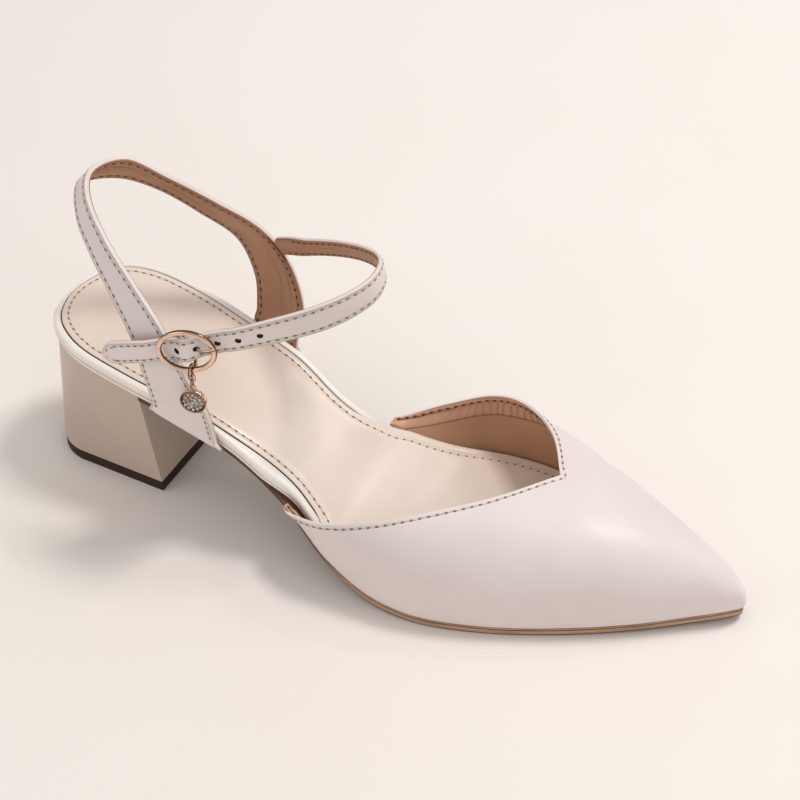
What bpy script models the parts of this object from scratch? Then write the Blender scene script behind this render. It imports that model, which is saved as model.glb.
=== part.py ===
"""A slingback court sandal with a pointed toe, a block heel and a buckled ankle strap: the right shoe.

While it is modelled, X runs from the back of the heel to the toe, Y to the wearer's left (the inner side of
this right shoe) and Z up from the floor. At the end the whole shoe moves, so that the world's origin lies
on the floor under the middle of its bounding box.
"""

import math
from typing import NamedTuple

import bmesh
import bpy
import numpy as np
from mathutils import Matrix, Vector

# Sizes of the last and the sole, in metres
LENGTH = 0.245
SEAT_WIDTH = 0.052
WAIST_WIDTH = 0.049
BALL_WIDTH = 0.080
HEEL_RISE = 0.0471
TOE_SPRING = 0.0022
CLEARANCE = 0.0003

OUTSOLE_THICKNESS = 0.0030
WAIST_THICKNESS = 0.0018
OUTSOLE_INSET = 0.0005
OUTSOLE_BEVEL = 0.0004

RIM_HEIGHT = 0.0050
RIM_WIDTH = 0.0026
RIM_ROUND = 0.0011
BOARD_TOE_END = 0.229
SOCK_THICKNESS = 0.0014
SOCK_ROUND = 0.0004
SEAT_CUP = 0.0013

# Heel
BREAST_TOP = 0.0452
HEEL_BASE_BACK = 0.0012
HEEL_BASE_FRONT = 0.0482
HEEL_BASE_OUTER = 0.0232
HEEL_BASE_INNER = 0.0216
HEEL_BASE_CORNER = 0.0142
LIFT_THICKNESS = 0.0042
LIFT_BEVEL = 0.0004

# Upper
VAMP_WALL = 0.0018
VAMP_HEIGHT = 0.0370
VAMP_BULGE = 0.0012
TURN_UNDER = 0.0010
SLING_HEIGHT = 0.112
SLING_HALF_WIDTH = 0.0325
SLING_THICKNESS = 0.0020
SLING_SKIVE = 0.35
STRAP_THICKNESS = 0.0016
STRAP_END_ROUND = 0.0046
STRAP_SKIVE = 0.0090
STRAP_HOLE = 0.0024
STRAP_HOLE_PITCH = 0.0071
HOLES_BEFORE = 1
HOLES_AFTER = 3

# Buckle, all measured along the strap, across it and outward from it
FRAME_LENGTH = 0.0206
FRAME_WIDTH = 0.0166
FRAME_WIRE = 0.0018
BAR_WIRE = 0.0013
BAR_REACH = 0.0053
LOOP_LEATHER = 0.0007
LOOP_WIDTH = 0.0080
LOOP_SLOT = 0.0030
LOOP_TAIL = 0.0080
STRAP_RISE = 0.0011
STRAP_DIP = 0.0008
PRONG_WIRE = 0.0009
PRONG_EYE_WIRE = 0.0006
BUCKLE_SHARE = 0.803
PRONG_HOLE_AHEAD = 0.0033

# Chain and pendant
CHAIN_LEAN = math.radians(5)
RING_BEHIND_BAR = 0.0017
RING_PLAY = 0.0003
RING_WIRE = 0.0006
LINK_LENGTH = 0.0034
LINK_WIDTH = 0.0023
LINK_WIRE = 0.0005
CHARM_RADIUS = 0.0044
CHARM_THICKNESS = 0.0018
CHARM_DOME = 0.0006
BAIL_RADIUS = 0.00105


class Station(NamedTuple):
    """One cross-section of the sole. Lengths are shares of the named sizes."""

    along: float  # of LENGTH, from the back of the heel
    width: float  # the width that this row follows
    outer: float  # of that width, toward the wearer's right
    inner: float  # of that width, toward the wearer's left
    rise: float  # of HEEL_RISE, how far the outsole's top climbs
    spring: float  # of TOE_SPRING


STATIONS = (
    Station(0.000, SEAT_WIDTH, 0.000, 0.000, 0.943, 0.00),
    Station(0.012, SEAT_WIDTH, 0.221, 0.227, 0.987, 0.00),
    Station(0.041, SEAT_WIDTH, 0.377, 0.396, 1.000, 0.00),
    Station(0.090, SEAT_WIDTH, 0.481, 0.477, 0.981, 0.00),
    Station(0.163, SEAT_WIDTH, 0.513, 0.479, 0.926, 0.00),
    Station(0.245, WAIST_WIDTH, 0.535, 0.475, 0.828, 0.00),
    Station(0.327, WAIST_WIDTH, 0.535, 0.445, 0.692, 0.00),
    Station(0.408, WAIST_WIDTH, 0.578, 0.450, 0.457, 0.00),
    Station(0.490, BALL_WIDTH, 0.432, 0.362, 0.187, 0.00),
    Station(0.571, BALL_WIDTH, 0.458, 0.483, 0.026, 0.00),
    Station(0.637, BALL_WIDTH, 0.441, 0.535, 0.000, 0.00),
    Station(0.714, BALL_WIDTH, 0.366, 0.527, 0.000, 0.00),
    Station(0.796, BALL_WIDTH, 0.247, 0.450, 0.000, 0.10),
    Station(0.878, BALL_WIDTH, 0.100, 0.356, 0.000, 0.32),
    Station(0.947, BALL_WIDTH, -0.050, 0.290, 0.000, 0.65),
    Station(0.984, BALL_WIDTH, -0.134, 0.243, 0.000, 0.88),
    Station(1.000, BALL_WIDTH, -0.190, 0.190, 0.000, 1.00),
)
TOE = len(STATIONS) - 1

# The board's own end: the last stations before the toe, closed by one blunt end
BOARD_END = Station(BOARD_TOE_END / LENGTH, BALL_WIDTH, -0.155, 0.155, 0.0, 0.5)
BOARD_STATIONS = STATIONS[:-3] + (BOARD_END,)


class Top(NamedTuple):
    """Where the vamp ends above one point of its lower edge: at the throat's edge, or on its middle ridge."""

    foot: float  # of LENGTH, the point of the lower edge
    along: float  # of LENGTH
    aside: float  # of BALL_WIDTH, toward the wearer's left
    up: float  # of VAMP_HEIGHT
    lean: float  # how far the wall's shoulder follows the top sideways
    swell: float  # how high the shoulder lies, 1 being level with the top
    fullness: float  # how square the shoulder is, 0.7 being round


THROAT_OUTER = (
    Top(0.416, 0.4180, -0.382, 0.655, 0.50, 0.50, 1.00),
    Top(0.434, 0.4330, -0.402, 0.650, 0.40, 0.50, 1.00),
    Top(0.490, 0.4880, -0.427, 0.759, 0.20, 0.58, 1.00),
    Top(0.555, 0.5510, -0.367, 0.873, 0.02, 0.70, 1.00),
    Top(0.620, 0.6110, -0.256, 0.965, 0.00, 0.80, 1.00),
    Top(0.694, 0.6763, -0.074, 1.008, 0.02, 0.90, 1.10),
)
THROAT_INNER = (
    Top(0.442, 0.4500, 0.345, 0.545, 0.50, 0.50, 1.00),
    Top(0.462, 0.4680, 0.405, 0.553, 0.55, 0.48, 1.00),
    Top(0.510, 0.5090, 0.490, 0.600, 0.58, 0.45, 1.00),
    Top(0.576, 0.5710, 0.560, 0.759, 0.55, 0.50, 1.00),
    Top(0.641, 0.6320, 0.515, 0.905, 0.00, 0.66, 1.00),
    Top(0.706, 0.6918, 0.368, 0.984, 0.00, 0.86, 1.10),
)
RIDGE = (
    Top(0.768, 0.7350, 0.163, 1.000, 0.03, 1.00, 1.25),
    Top(0.829, 0.7950, 0.164, 0.940, 0.03, 1.00, 1.35),
    Top(0.889, 0.8590, 0.168, 0.832, 0.03, 1.00, 1.35),
    Top(0.939, 0.9140, 0.176, 0.692, 0.03, 0.98, 1.25),
    Top(0.973, 0.9550, 0.184, 0.556, 0.03, 0.92, 1.15),
    Top(1.000, 0.9800, 0.188, 0.440, 0.03, 0.85, 1.00),
)


class Band(NamedTuple):
    """One crosswise line of a strap, between two edges. Lengths are shares of the named sizes."""

    low_along: float  # of LENGTH
    low_aside: float  # of SLING_HALF_WIDTH
    low_up: float  # of SLING_HEIGHT
    high_along: float
    high_aside: float
    high_up: float


# The sling's outer face, from above the rim upward: each side by itself, and both round the back of the heel
SLING_OUTER = (
    Band(0.2171, 0.923, 0.487, 0.3102, 0.951, 0.487),
    Band(0.2135, 0.954, 0.571, 0.2955, 0.991, 0.580),
    Band(0.2065, 0.960, 0.672, 0.2545, 0.921, 0.743),
)
SLING_INNER = (
    Band(0.2430, 0.846, 0.451, 0.3106, 0.948, 0.469),
    Band(0.2350, 0.954, 0.545, 0.2898, 1.003, 0.616),
    Band(0.2102, 0.966, 0.666, 0.2535, 0.923, 0.745),
)
SLING_BACK = (
    Band(0.1670, 0.806, 0.763, 0.1990, 0.757, 0.836),
    Band(0.1210, 0.622, 0.850, 0.1445, 0.578, 0.918),
    Band(0.0796, 0.375, 0.910, 0.1004, 0.357, 0.988),
    Band(0.0518, 0.000, 0.940, 0.0776, 0.000, 1.000),
)


class Tab(NamedTuple):
    """One crosswise line of the sling's foot, outside the rim."""

    back: float  # of LENGTH
    front: float  # of LENGTH
    off: float  # of SLING_THICKNESS, its outer face from the rim's side
    above: float  # of RIM_HEIGHT, over the rim's underside


TAB_OUTER = (
    Tab(0.208, 0.318, 0.70, 0.06),
    Tab(0.212, 0.314, 1.20, 0.42),
    Tab(0.217, 0.311, 1.15, 1.08),
)
TAB_INNER = (
    Tab(0.238, 0.318, 0.70, 0.06),
    Tab(0.241, 0.315, 1.20, 0.42),
    Tab(0.243, 0.312, 1.15, 1.08),
)

# The ankle strap's outer face, from under the sling on the inner side, round the front, to its free end
ANKLE = (
    Band(0.2375, 0.945, 0.611, 0.2506, 0.930, 0.688),
    Band(0.3457, 0.951, 0.714, 0.3563, 0.868, 0.788),
    Band(0.4257, 0.806, 0.786, 0.4318, 0.702, 0.859),
    Band(0.4743, 0.523, 0.824, 0.4759, 0.443, 0.901),
    Band(0.4865, 0.114, 0.826, 0.4841, 0.071, 0.905),
    Band(0.4539, -0.338, 0.805, 0.4514, -0.348, 0.887),
    Band(0.3812, -0.738, 0.766, 0.3829, -0.738, 0.845),
    Band(0.2853, -1.022, 0.689, 0.2869, -1.014, 0.771),
    Band(0.1686, -1.062, 0.586, 0.1669, -1.090, 0.661),
)

OUTER, INNER = -1, 1


def eased(knots, values, at):
    """A smooth curve through the values that never swings past them."""
    knots, values, at = (np.asarray(each, float) for each in (knots, values, at))
    steps = np.diff(values) / np.diff(knots)
    slopes = np.zeros(len(values))
    same = steps[:-1] * steps[1:] > 0
    slopes[1:-1][same] = (2 * steps[:-1] * steps[1:])[same] / (steps[:-1] + steps[1:])[same]
    slopes[0], slopes[-1] = steps[0], steps[-1]
    return hermite(knots, values, slopes, at)


def smooth(points, at, before=None, after=None):
    """A smooth curve through points numbered 0, 1, 2 and on. The two extra points steer its ends."""
    points = np.asarray(points, float)
    first = 2 * points[0] - points[1] if before is None else before
    last = 2 * points[-1] - points[-2] if after is None else after
    track = np.vstack([[first], points, [last]])
    return hermite(np.arange(len(points)), points, (track[2:] - track[:-2]) / 2, np.asarray(at, float))


def hermite(knots, values, slopes, at):
    """Cubic pieces with the given values and slopes at the knots."""
    place = np.clip(np.searchsorted(knots, at, side="right") - 1, 0, len(knots) - 2)
    span = (knots[place + 1] - knots[place]).astype(float)
    part = (at - knots[place]) / span
    if values.ndim > 1:
        part, span = part[:, None], span[:, None]
    a, b = values[place], values[place + 1]
    m, n = slopes[place] * span, slopes[place + 1] * span
    square, cube = part**2, part**3
    return (2 * cube - 3 * square + 1) * a + (cube - 2 * square + part) * m + (3 * square - 2 * cube) * b + (
        cube - square
    ) * n


def unit(vectors):
    """Vectors of length one."""
    return vectors / np.linalg.norm(vectors, axis=-1, keepdims=True)


def feather(x):
    """Height of the line where the upper meets the outsole: the outsole's top, and the heel's."""
    knots = [row.along * LENGTH for row in STATIONS]
    heights = [OUTSOLE_THICKNESS + row.rise * HEEL_RISE + row.spring * TOE_SPRING for row in STATIONS]
    return eased(knots, heights, np.clip(x, 0, LENGTH))


def underside(x):
    """Height of the outsole's underside above the floor: it is thinner in the waist."""
    forward = np.clip((np.asarray(x) / LENGTH - 0.42) / 0.14, 0, 1)
    forward = forward * forward * (3 - 2 * forward)
    return feather(x) - (WAIST_THICKNESS + (OUTSOLE_THICKNESS - WAIST_THICKNESS) * forward)


def edge(side, number, inset=0.0, stations=STATIONS):
    """Points of the sole's edge on one side at station numbers, moved inward by the inset."""
    number = np.atleast_1d(np.asarray(number, float))
    mine, other = ("outer", "inner") if side == OUTER else ("inner", "outer")

    def point(row, column, sign):
        return [row.along * LENGTH, sign * getattr(row, column) * row.width]

    track = [point(row, mine, side) for row in stations]
    wrap = (point(stations[1], other, -side), point(stations[-2], other, -side))
    points = smooth(track, number, *wrap)
    step = 0.02
    ahead = smooth(track, np.minimum(number + step, len(track) - 1), *wrap)
    behind = smooth(track, np.maximum(number - step, 0), *wrap)
    along = unit(ahead - behind)
    along[number <= 0] = (0, side)
    along[number >= len(track) - 1] = (0, -side)
    inward = np.stack([along[:, 1], -along[:, 0]], axis=1) * side
    return points + inward * np.reshape(inset, (-1, 1))


def number_at(side, x, stations=STATIONS):
    """The station number where the edge of one side crosses x."""
    numbers = np.linspace(0, len(stations) - 1, 1601)
    return float(np.interp(x, edge(side, numbers, 0.0, stations)[:, 0], numbers))


def at_height(points, z):
    """Flat points with a height."""
    return np.column_stack([points, np.broadcast_to(z, len(points))])


def finish(name, color, roughness, metallic=0.0, coat=0.0):
    """A plain material for one sub-part."""
    material = bpy.data.materials.new(name)
    material.use_nodes = True
    shader = material.node_tree.nodes["Principled BSDF"]
    shader.inputs["Base Color"].default_value = (*color, 1.0)
    shader.inputs["Roughness"].default_value = roughness
    shader.inputs["Metallic"].default_value = metallic
    shader.inputs["Coat Weight"].default_value = coat
    material.diffuse_color = (*color, 1.0)
    return material


def solid(name, vertices, faces, material, helper=False):
    """An object from vertices and faces, with equal vertices merged and its faces turned outward."""
    shape = bmesh.new()
    corners = [shape.verts.new(vertex) for vertex in vertices]
    for face in faces:
        shape.faces.new([corners[index] for index in face])
    bmesh.ops.remove_doubles(shape, verts=shape.verts, dist=1e-6)
    bmesh.ops.dissolve_degenerate(shape, edges=shape.edges, dist=1e-6)
    bmesh.ops.recalc_face_normals(shape, faces=shape.faces)
    if shape.calc_volume(signed=True) < 0:
        bmesh.ops.reverse_faces(shape, faces=shape.faces)
    mesh = bpy.data.meshes.new(name)
    shape.to_mesh(mesh)
    shape.free()
    return add(name, mesh, material, helper)


def add(name, mesh, material, helper=False):
    """An object that shows a mesh, or a helper that only cuts or joins."""
    mesh.materials.clear()
    mesh.materials.append(material)
    mesh.shade_smooth()
    mesh.set_sharp_from_angle(angle=math.radians(35))
    made = bpy.data.objects.new(name, mesh)
    bpy.context.scene.collection.objects.link(made)
    if helper:
        made.hide_render = True
        made.display_type = "WIRE"
    return made


def apply_boolean(target, tool, operation):
    """Joins a helper to an object, or cuts it away."""
    modifier = target.modifiers.new(tool.name, "BOOLEAN")
    modifier.operation = operation
    modifier.solver = "EXACT"
    modifier.object = tool


def between(outer, inner):
    """Vertices and faces of the solid between two grids of points that face each other."""
    outer, inner = np.asarray(outer), np.asarray(inner)
    rows, columns = outer.shape[:2]
    vertices = np.concatenate([outer.reshape(-1, 3), inner.reshape(-1, 3)])

    def index(layer, row, column):
        return layer * rows * columns + row * columns + column

    faces = []
    for row in range(rows - 1):
        for column in range(columns - 1):
            corners = [(row, column), (row + 1, column), (row + 1, column + 1), (row, column + 1)]
            faces.append([index(0, *corner) for corner in corners])
            faces.append([index(1, *corner) for corner in reversed(corners)])
    rim = [(row, 0) for row in range(rows)]
    rim += [(rows - 1, column) for column in range(1, columns)]
    rim += [(row, columns - 1) for row in range(rows - 2, -1, -1)]
    rim += [(0, column) for column in range(columns - 2, 0, -1)]
    for here, there in zip(rim, rim[1:] + rim[:1]):
        faces.append([index(0, *there), index(0, *here), index(1, *here), index(1, *there)])
    return vertices, faces


def stacked(outer_side, inner_side, columns=1, cup=0.0, low_cup=0.0):
    """Vertices and faces of a plate from levels of edge points, each level with its two sides.

    Both sides run from the back to the toe. Cross rows of so many columns close the highest level, and
    the cups are how far the middle of the highest and of the lowest level sinks.
    """
    levels, count = len(outer_side), len(outer_side[0])
    vertices = []
    for left, right in zip(outer_side, inner_side):
        vertices += list(left) + list(right)

    def index(level, side, row):
        return (2 * level + side) * count + row

    faces = []
    for level in range(levels - 1):
        for row in range(count - 1):
            for side in (0, 1):
                face = [
                    index(level, side, row),
                    index(level, side, row + 1),
                    index(level + 1, side, row + 1),
                    index(level + 1, side, row),
                ]
                faces.append(face if side == 0 else face[::-1])
        for row, turn in ((0, 1), (count - 1, -1)):
            low = [index(level, 1, row), index(level, 0, row)]
            high = [index(level + 1, 0, row), index(level + 1, 1, row)]
            faces.append((low + high)[::turn])
    closings = ((0, low_cup, columns if low_cup else 1, -1), (levels - 1, cup, columns, 1))
    for level, depth, wide, turn in closings:
        grid = []
        for row in range(count):
            left, right = outer_side[level][row], inner_side[level][row]
            line = [index(level, 0, row)]
            for share in np.linspace(0, 1, wide + 1)[1:-1]:
                middle = left + (right - left) * share
                wideness = min(1.0, np.linalg.norm(right - left) / SEAT_WIDTH)
                middle[2] -= depth * 4 * share * (1 - share) * wideness
                line.append(len(vertices))
                vertices.append(middle)
            grid.append(line + [index(level, 1, row)])
        for row in range(count - 1):
            for column in range(wide):
                near, far = grid[row], grid[row + 1]
                faces.append([near[column], far[column], far[column + 1], near[column + 1]][::turn])
    return vertices, faces


def wire(name, points, thickness, material, closed=False, helper=False, sides=8, radii=None):
    """A round wire along points, as a mesh."""
    curve = bpy.data.curves.new(name, "CURVE")
    curve.dimensions = "3D"
    curve.bevel_depth = thickness / 2
    curve.bevel_resolution = (sides - 4) // 2
    curve.use_fill_caps = not closed
    spline = curve.splines.new("POLY")
    spline.points.add(len(points) - 1)
    for number, point in enumerate(points):
        spline.points[number].co = (*point, 1.0)
        spline.points[number].radius = 1.0 if radii is None else radii[number]
    spline.use_cyclic_u = closed
    guide = bpy.data.objects.new(name, curve)
    bpy.context.scene.collection.objects.link(guide)
    graph = bpy.context.evaluated_depsgraph_get()
    mesh = bpy.data.meshes.new_from_object(guide.evaluated_get(graph))
    bpy.data.objects.remove(guide)
    shape = bmesh.new()
    shape.from_mesh(mesh)
    bmesh.ops.remove_doubles(shape, verts=shape.verts, dist=1e-6)
    bmesh.ops.recalc_face_normals(shape, faces=shape.faces)
    shape.to_mesh(mesh)
    shape.free()
    return add(name, mesh, material, helper)


def outsole(material):
    """The thin sole unit, from the heel's breast to the toe."""
    ends = [number_at(side, BREAST_TOP + CLEARANCE) for side in (OUTER, INNER)]
    layers = ((OUTSOLE_BEVEL, underside, 0.0), (0.0, underside, OUTSOLE_BEVEL), (0.0, feather, 0.0))
    sides = []
    for side, start in zip((OUTER, INNER), ends):
        numbers = start + (TOE - start) * np.linspace(0, 1, 49) ** 0.94
        levels = []
        for inset, level, height in layers:
            points = edge(side, numbers, OUTSOLE_INSET + inset)
            points[0, 0] = BREAST_TOP + CLEARANCE
            levels.append(at_height(points, level(points[:, 0]) + height))
        sides.append(levels)
    return solid("outsole", *stacked(*sides), material)


def board_inset(x):
    """How far the board's edge lies inside the sole's: flush at the heel, inside the wall under the vamp."""
    into_vamp = np.clip((x / LENGTH - 0.385) / 0.04, 0, 1)
    return (VAMP_WALL + TURN_UNDER + 2 * CLEARANCE) * into_vamp * into_vamp * (3 - 2 * into_vamp)


def board_levels(layers):
    """Both sides of a plate on the board's outline, at several insets and heights above the feather line."""
    last = len(BOARD_STATIONS) - 1
    spans = (np.linspace(0, 3, 13), np.linspace(3, last - 2, 23), np.linspace(last - 2, last, 9))
    numbers = np.unique(np.concatenate(spans))
    sides = []
    for side in (OUTER, INNER):
        plain = edge(side, numbers, 0.0, BOARD_STATIONS)
        levels = []
        for inset, height in layers:
            points = edge(side, numbers, board_inset(plain[:, 0]) + inset, BOARD_STATIONS)
            levels.append(at_height(points, feather(points[:, 0]) + CLEARANCE + height))
        sides.append(levels)
    return sides


def insole_board(material):
    """The wrapped insole board: a rim that shows all round, and a shallow bed for the sock inside it."""
    bed = RIM_HEIGHT - SOCK_THICKNESS - CLEARANCE
    layers = (
        (RIM_ROUND, 0.0),
        (RIM_ROUND * 0.3, RIM_ROUND * 0.35),
        (0.0, RIM_ROUND),
        (0.0, RIM_HEIGHT - RIM_ROUND),
        (RIM_ROUND * 0.3, RIM_HEIGHT - RIM_ROUND * 0.3),
        (RIM_ROUND, RIM_HEIGHT),
        (RIM_WIDTH - RIM_ROUND * 0.3, RIM_HEIGHT - RIM_ROUND * 0.1),
        (RIM_WIDTH, bed),
    )
    return solid("insole_board", *stacked(*board_levels(layers), columns=4, cup=SEAT_CUP), material)


def sock(material):
    """The padded sock lining in the rim's bed."""
    inside = RIM_WIDTH + CLEARANCE
    layers = (
        (inside, RIM_HEIGHT - SOCK_THICKNESS),
        (inside, RIM_HEIGHT - SOCK_ROUND),
        (inside + SOCK_ROUND, RIM_HEIGHT),
    )
    return solid("sock", *stacked(*board_levels(layers), columns=4, cup=SEAT_CUP, low_cup=SEAT_CUP), material)


def heel_outline(side, count):
    """One side of the heel's base, from the middle of its back, round a wide corner, to its front corner."""
    reach, half = HEEL_BASE_FRONT - HEEL_BASE_BACK, HEEL_BASE_OUTER if side == OUTER else HEEL_BASE_INNER
    straight, corner = half - HEEL_BASE_CORNER, HEEL_BASE_CORNER
    arc = corner * math.pi / 2
    whole = straight + arc + reach - corner
    points = []
    for distance in np.linspace(0, whole, count):
        turn = np.clip((distance - straight) / corner, 0, math.pi / 2)
        x = corner * (1 - math.cos(turn)) + max(0.0, distance - straight - arc)
        y = min(distance, straight) + corner * math.sin(turn)
        points.append([HEEL_BASE_BACK + x, side * y])
    return np.array(points)


def heel_seat(side, count):
    """One side of the heel's top, under the rim, with points as evenly spaced as the base's."""
    numbers = np.linspace(0, number_at(side, BREAST_TOP), 300)
    fine = edge(side, numbers, RIM_ROUND)
    fine[-1, 0] = BREAST_TOP
    lengths = np.concatenate([[0], np.cumsum(np.linalg.norm(np.diff(fine, axis=0), axis=1))])
    wanted = np.linspace(0, lengths[-1], count)
    return np.column_stack([np.interp(wanted, lengths, fine[:, 0]), np.interp(wanted, lengths, fine[:, 1])])


def heel_block(material):
    """The covered block: its round back comes down from the seat to a base with a flat front."""
    count, base = 15, LIFT_THICKNESS + CLEARANCE
    sides = []
    for side in (OUTER, INNER):
        top, bottom = heel_seat(side, count), heel_outline(side, count)
        levels = []
        for share in (0.0, 0.25, 0.5, 0.75, 1.0):
            points = bottom + (top - bottom) * share
            levels.append(at_height(points, base + (feather(top[:, 0]) - base) * share))
        sides.append(levels)
    return solid("heel_block", *stacked(*sides), material)


def heel_lift(material):
    """The top piece that the heel stands on."""
    sides = []
    for side in (OUTER, INNER):
        outline = heel_outline(side, 15)
        middle = np.array([(HEEL_BASE_BACK + HEEL_BASE_FRONT) / 2, 0.0])
        small = middle + (outline - middle) * (1 - LIFT_BEVEL / HEEL_BASE_INNER)
        levels = [at_height(small, 0.0), at_height(outline, LIFT_BEVEL), at_height(outline, LIFT_THICKNESS)]
        sides.append(levels)
    return solid("heel_lift", *stacked(*sides), material)


def vamp_side(side, throat):
    """The outer face of one side of the vamp: a row for each point of its lower edge, from tail to toe."""
    ridge_from = len(throat)
    rows = throat + RIDGE
    places = [[row.along * LENGTH, row.aside * BALL_WIDTH, row.up * VAMP_HEIGHT] for row in rows]
    to_throat = np.linspace(0, ridge_from, 3 * ridge_from + 2)
    to_toe = np.linspace(ridge_from, len(rows) - 1, 19)[1:]
    throat_edge = smooth(places[: ridge_from + 1], to_throat)
    tops = np.vstack([throat_edge, smooth(places[ridge_from:], to_toe - ridge_from)])
    along = np.concatenate([to_throat, to_toe])

    def column(name):
        return eased(np.arange(len(rows)), [getattr(row, name) for row in rows], along)

    feet = np.array([number_at(side, min(x, LENGTH * 0.99999)) for x in column("foot") * LENGTH])
    feet[-1] = TOE
    foot = edge(side, feet)
    inward = unit(edge(side, feet, 0.001) - foot)
    base = feather(foot[:, 0]) + CLEARANCE
    turn = np.minimum(TURN_UNDER, (tops[:, 2] - base) * 0.4)
    lean, swell, fullness = column("lean")[:, None], column("swell"), column("fullness")
    shoulder = foot + (tops[:, :2] - foot) * lean - inward * VAMP_BULGE
    low = np.column_stack([foot, base + turn])
    shoulder = np.column_stack([shoulder, low[:, 2] + swell * (tops[:, 2] - low[:, 2])])
    grid = [np.column_stack([foot + inward * turn[:, None], base])]
    for share in np.linspace(0, 1, 9):
        first, last = (1 - share) ** 2, share**2
        middle = 2 * share * (1 - share) * fullness[:, None]
        grid.append((first * low + middle * shoulder + last * tops) / (first + middle + last))
    return np.array(grid).transpose(1, 0, 2)


def vamp(material):
    """The closed-toe front of the upper: one wall of even thickness, open at the throat and underneath."""
    outer_side, inner_side = vamp_side(OUTER, THROAT_OUTER), vamp_side(INNER, THROAT_INNER)
    shape = bmesh.new()
    for grid, turn in ((outer_side, 1), (inner_side, -1)):
        corners = [[shape.verts.new(point) for point in row] for row in grid]
        for near, far in zip(corners, corners[1:]):
            for column in range(len(near) - 1):
                face = [near[column], far[column], far[column + 1], near[column + 1]]
                shape.faces.new(face[::turn])
    bmesh.ops.remove_doubles(shape, verts=shape.verts, dist=1e-6)
    mesh = bpy.data.meshes.new("vamp")
    shape.to_mesh(mesh)
    shape.free()
    made = add("vamp", mesh, material)
    wall = made.modifiers.new("wall", "SOLIDIFY")
    wall.thickness = VAMP_WALL
    wall.offset = -1
    wall.use_even_offset = True
    wall.use_rim = True
    return made


def band_line(row, side=INNER):
    """The low and the high end of one crosswise line of a strap, with its side set."""
    low = [row.low_along * LENGTH, side * row.low_aside * SLING_HALF_WIDTH, row.low_up * SLING_HEIGHT]
    high = [row.high_along * LENGTH, side * row.high_aside * SLING_HALF_WIDTH, row.high_up * SLING_HEIGHT]
    return [low, high]


def sling_side(side, tabs, bands):
    """The sling's crosswise lines on one side, from its foot outside the rim up to its back."""
    rows = []
    for tab in tabs:
        line = []
        for share in (tab.back, tab.front):
            place = number_at(side, share * LENGTH)
            point = edge(side, place, -(SLING_THICKNESS * tab.off + CLEARANCE))[0]
            line.append([point[0], point[1], feather(point[0]) + RIM_HEIGHT * tab.above])
        rows.append(line)
    return rows + [band_line(row, side) for row in bands]


def sheet(low, high, columns):
    """A grid of points between two edges."""
    shares = np.linspace(0, 1, columns + 1)[None, :, None]
    return low[:, None, :] + (high - low)[:, None, :] * shares


def outward(grid):
    """Unit vectors square to a grid of points."""
    along = np.gradient(grid, axis=0)
    across = np.gradient(grid, axis=1)
    return unit(np.cross(along, across))


def sling_grid():
    """The outer face of the sling, from the outer side's foot round the back to the inner side's foot."""
    outer_rows = sling_side(OUTER, TAB_OUTER, SLING_OUTER + SLING_BACK)
    inner_rows = sling_side(INNER, TAB_INNER, SLING_INNER + SLING_BACK)
    rows = np.array(outer_rows + inner_rows[-2::-1])
    at = np.linspace(0, len(rows) - 1, 4 * (len(rows) - 1) + 1)
    return sheet(smooth(rows[:, 0], at), smooth(rows[:, 1], at), 3)


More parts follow.
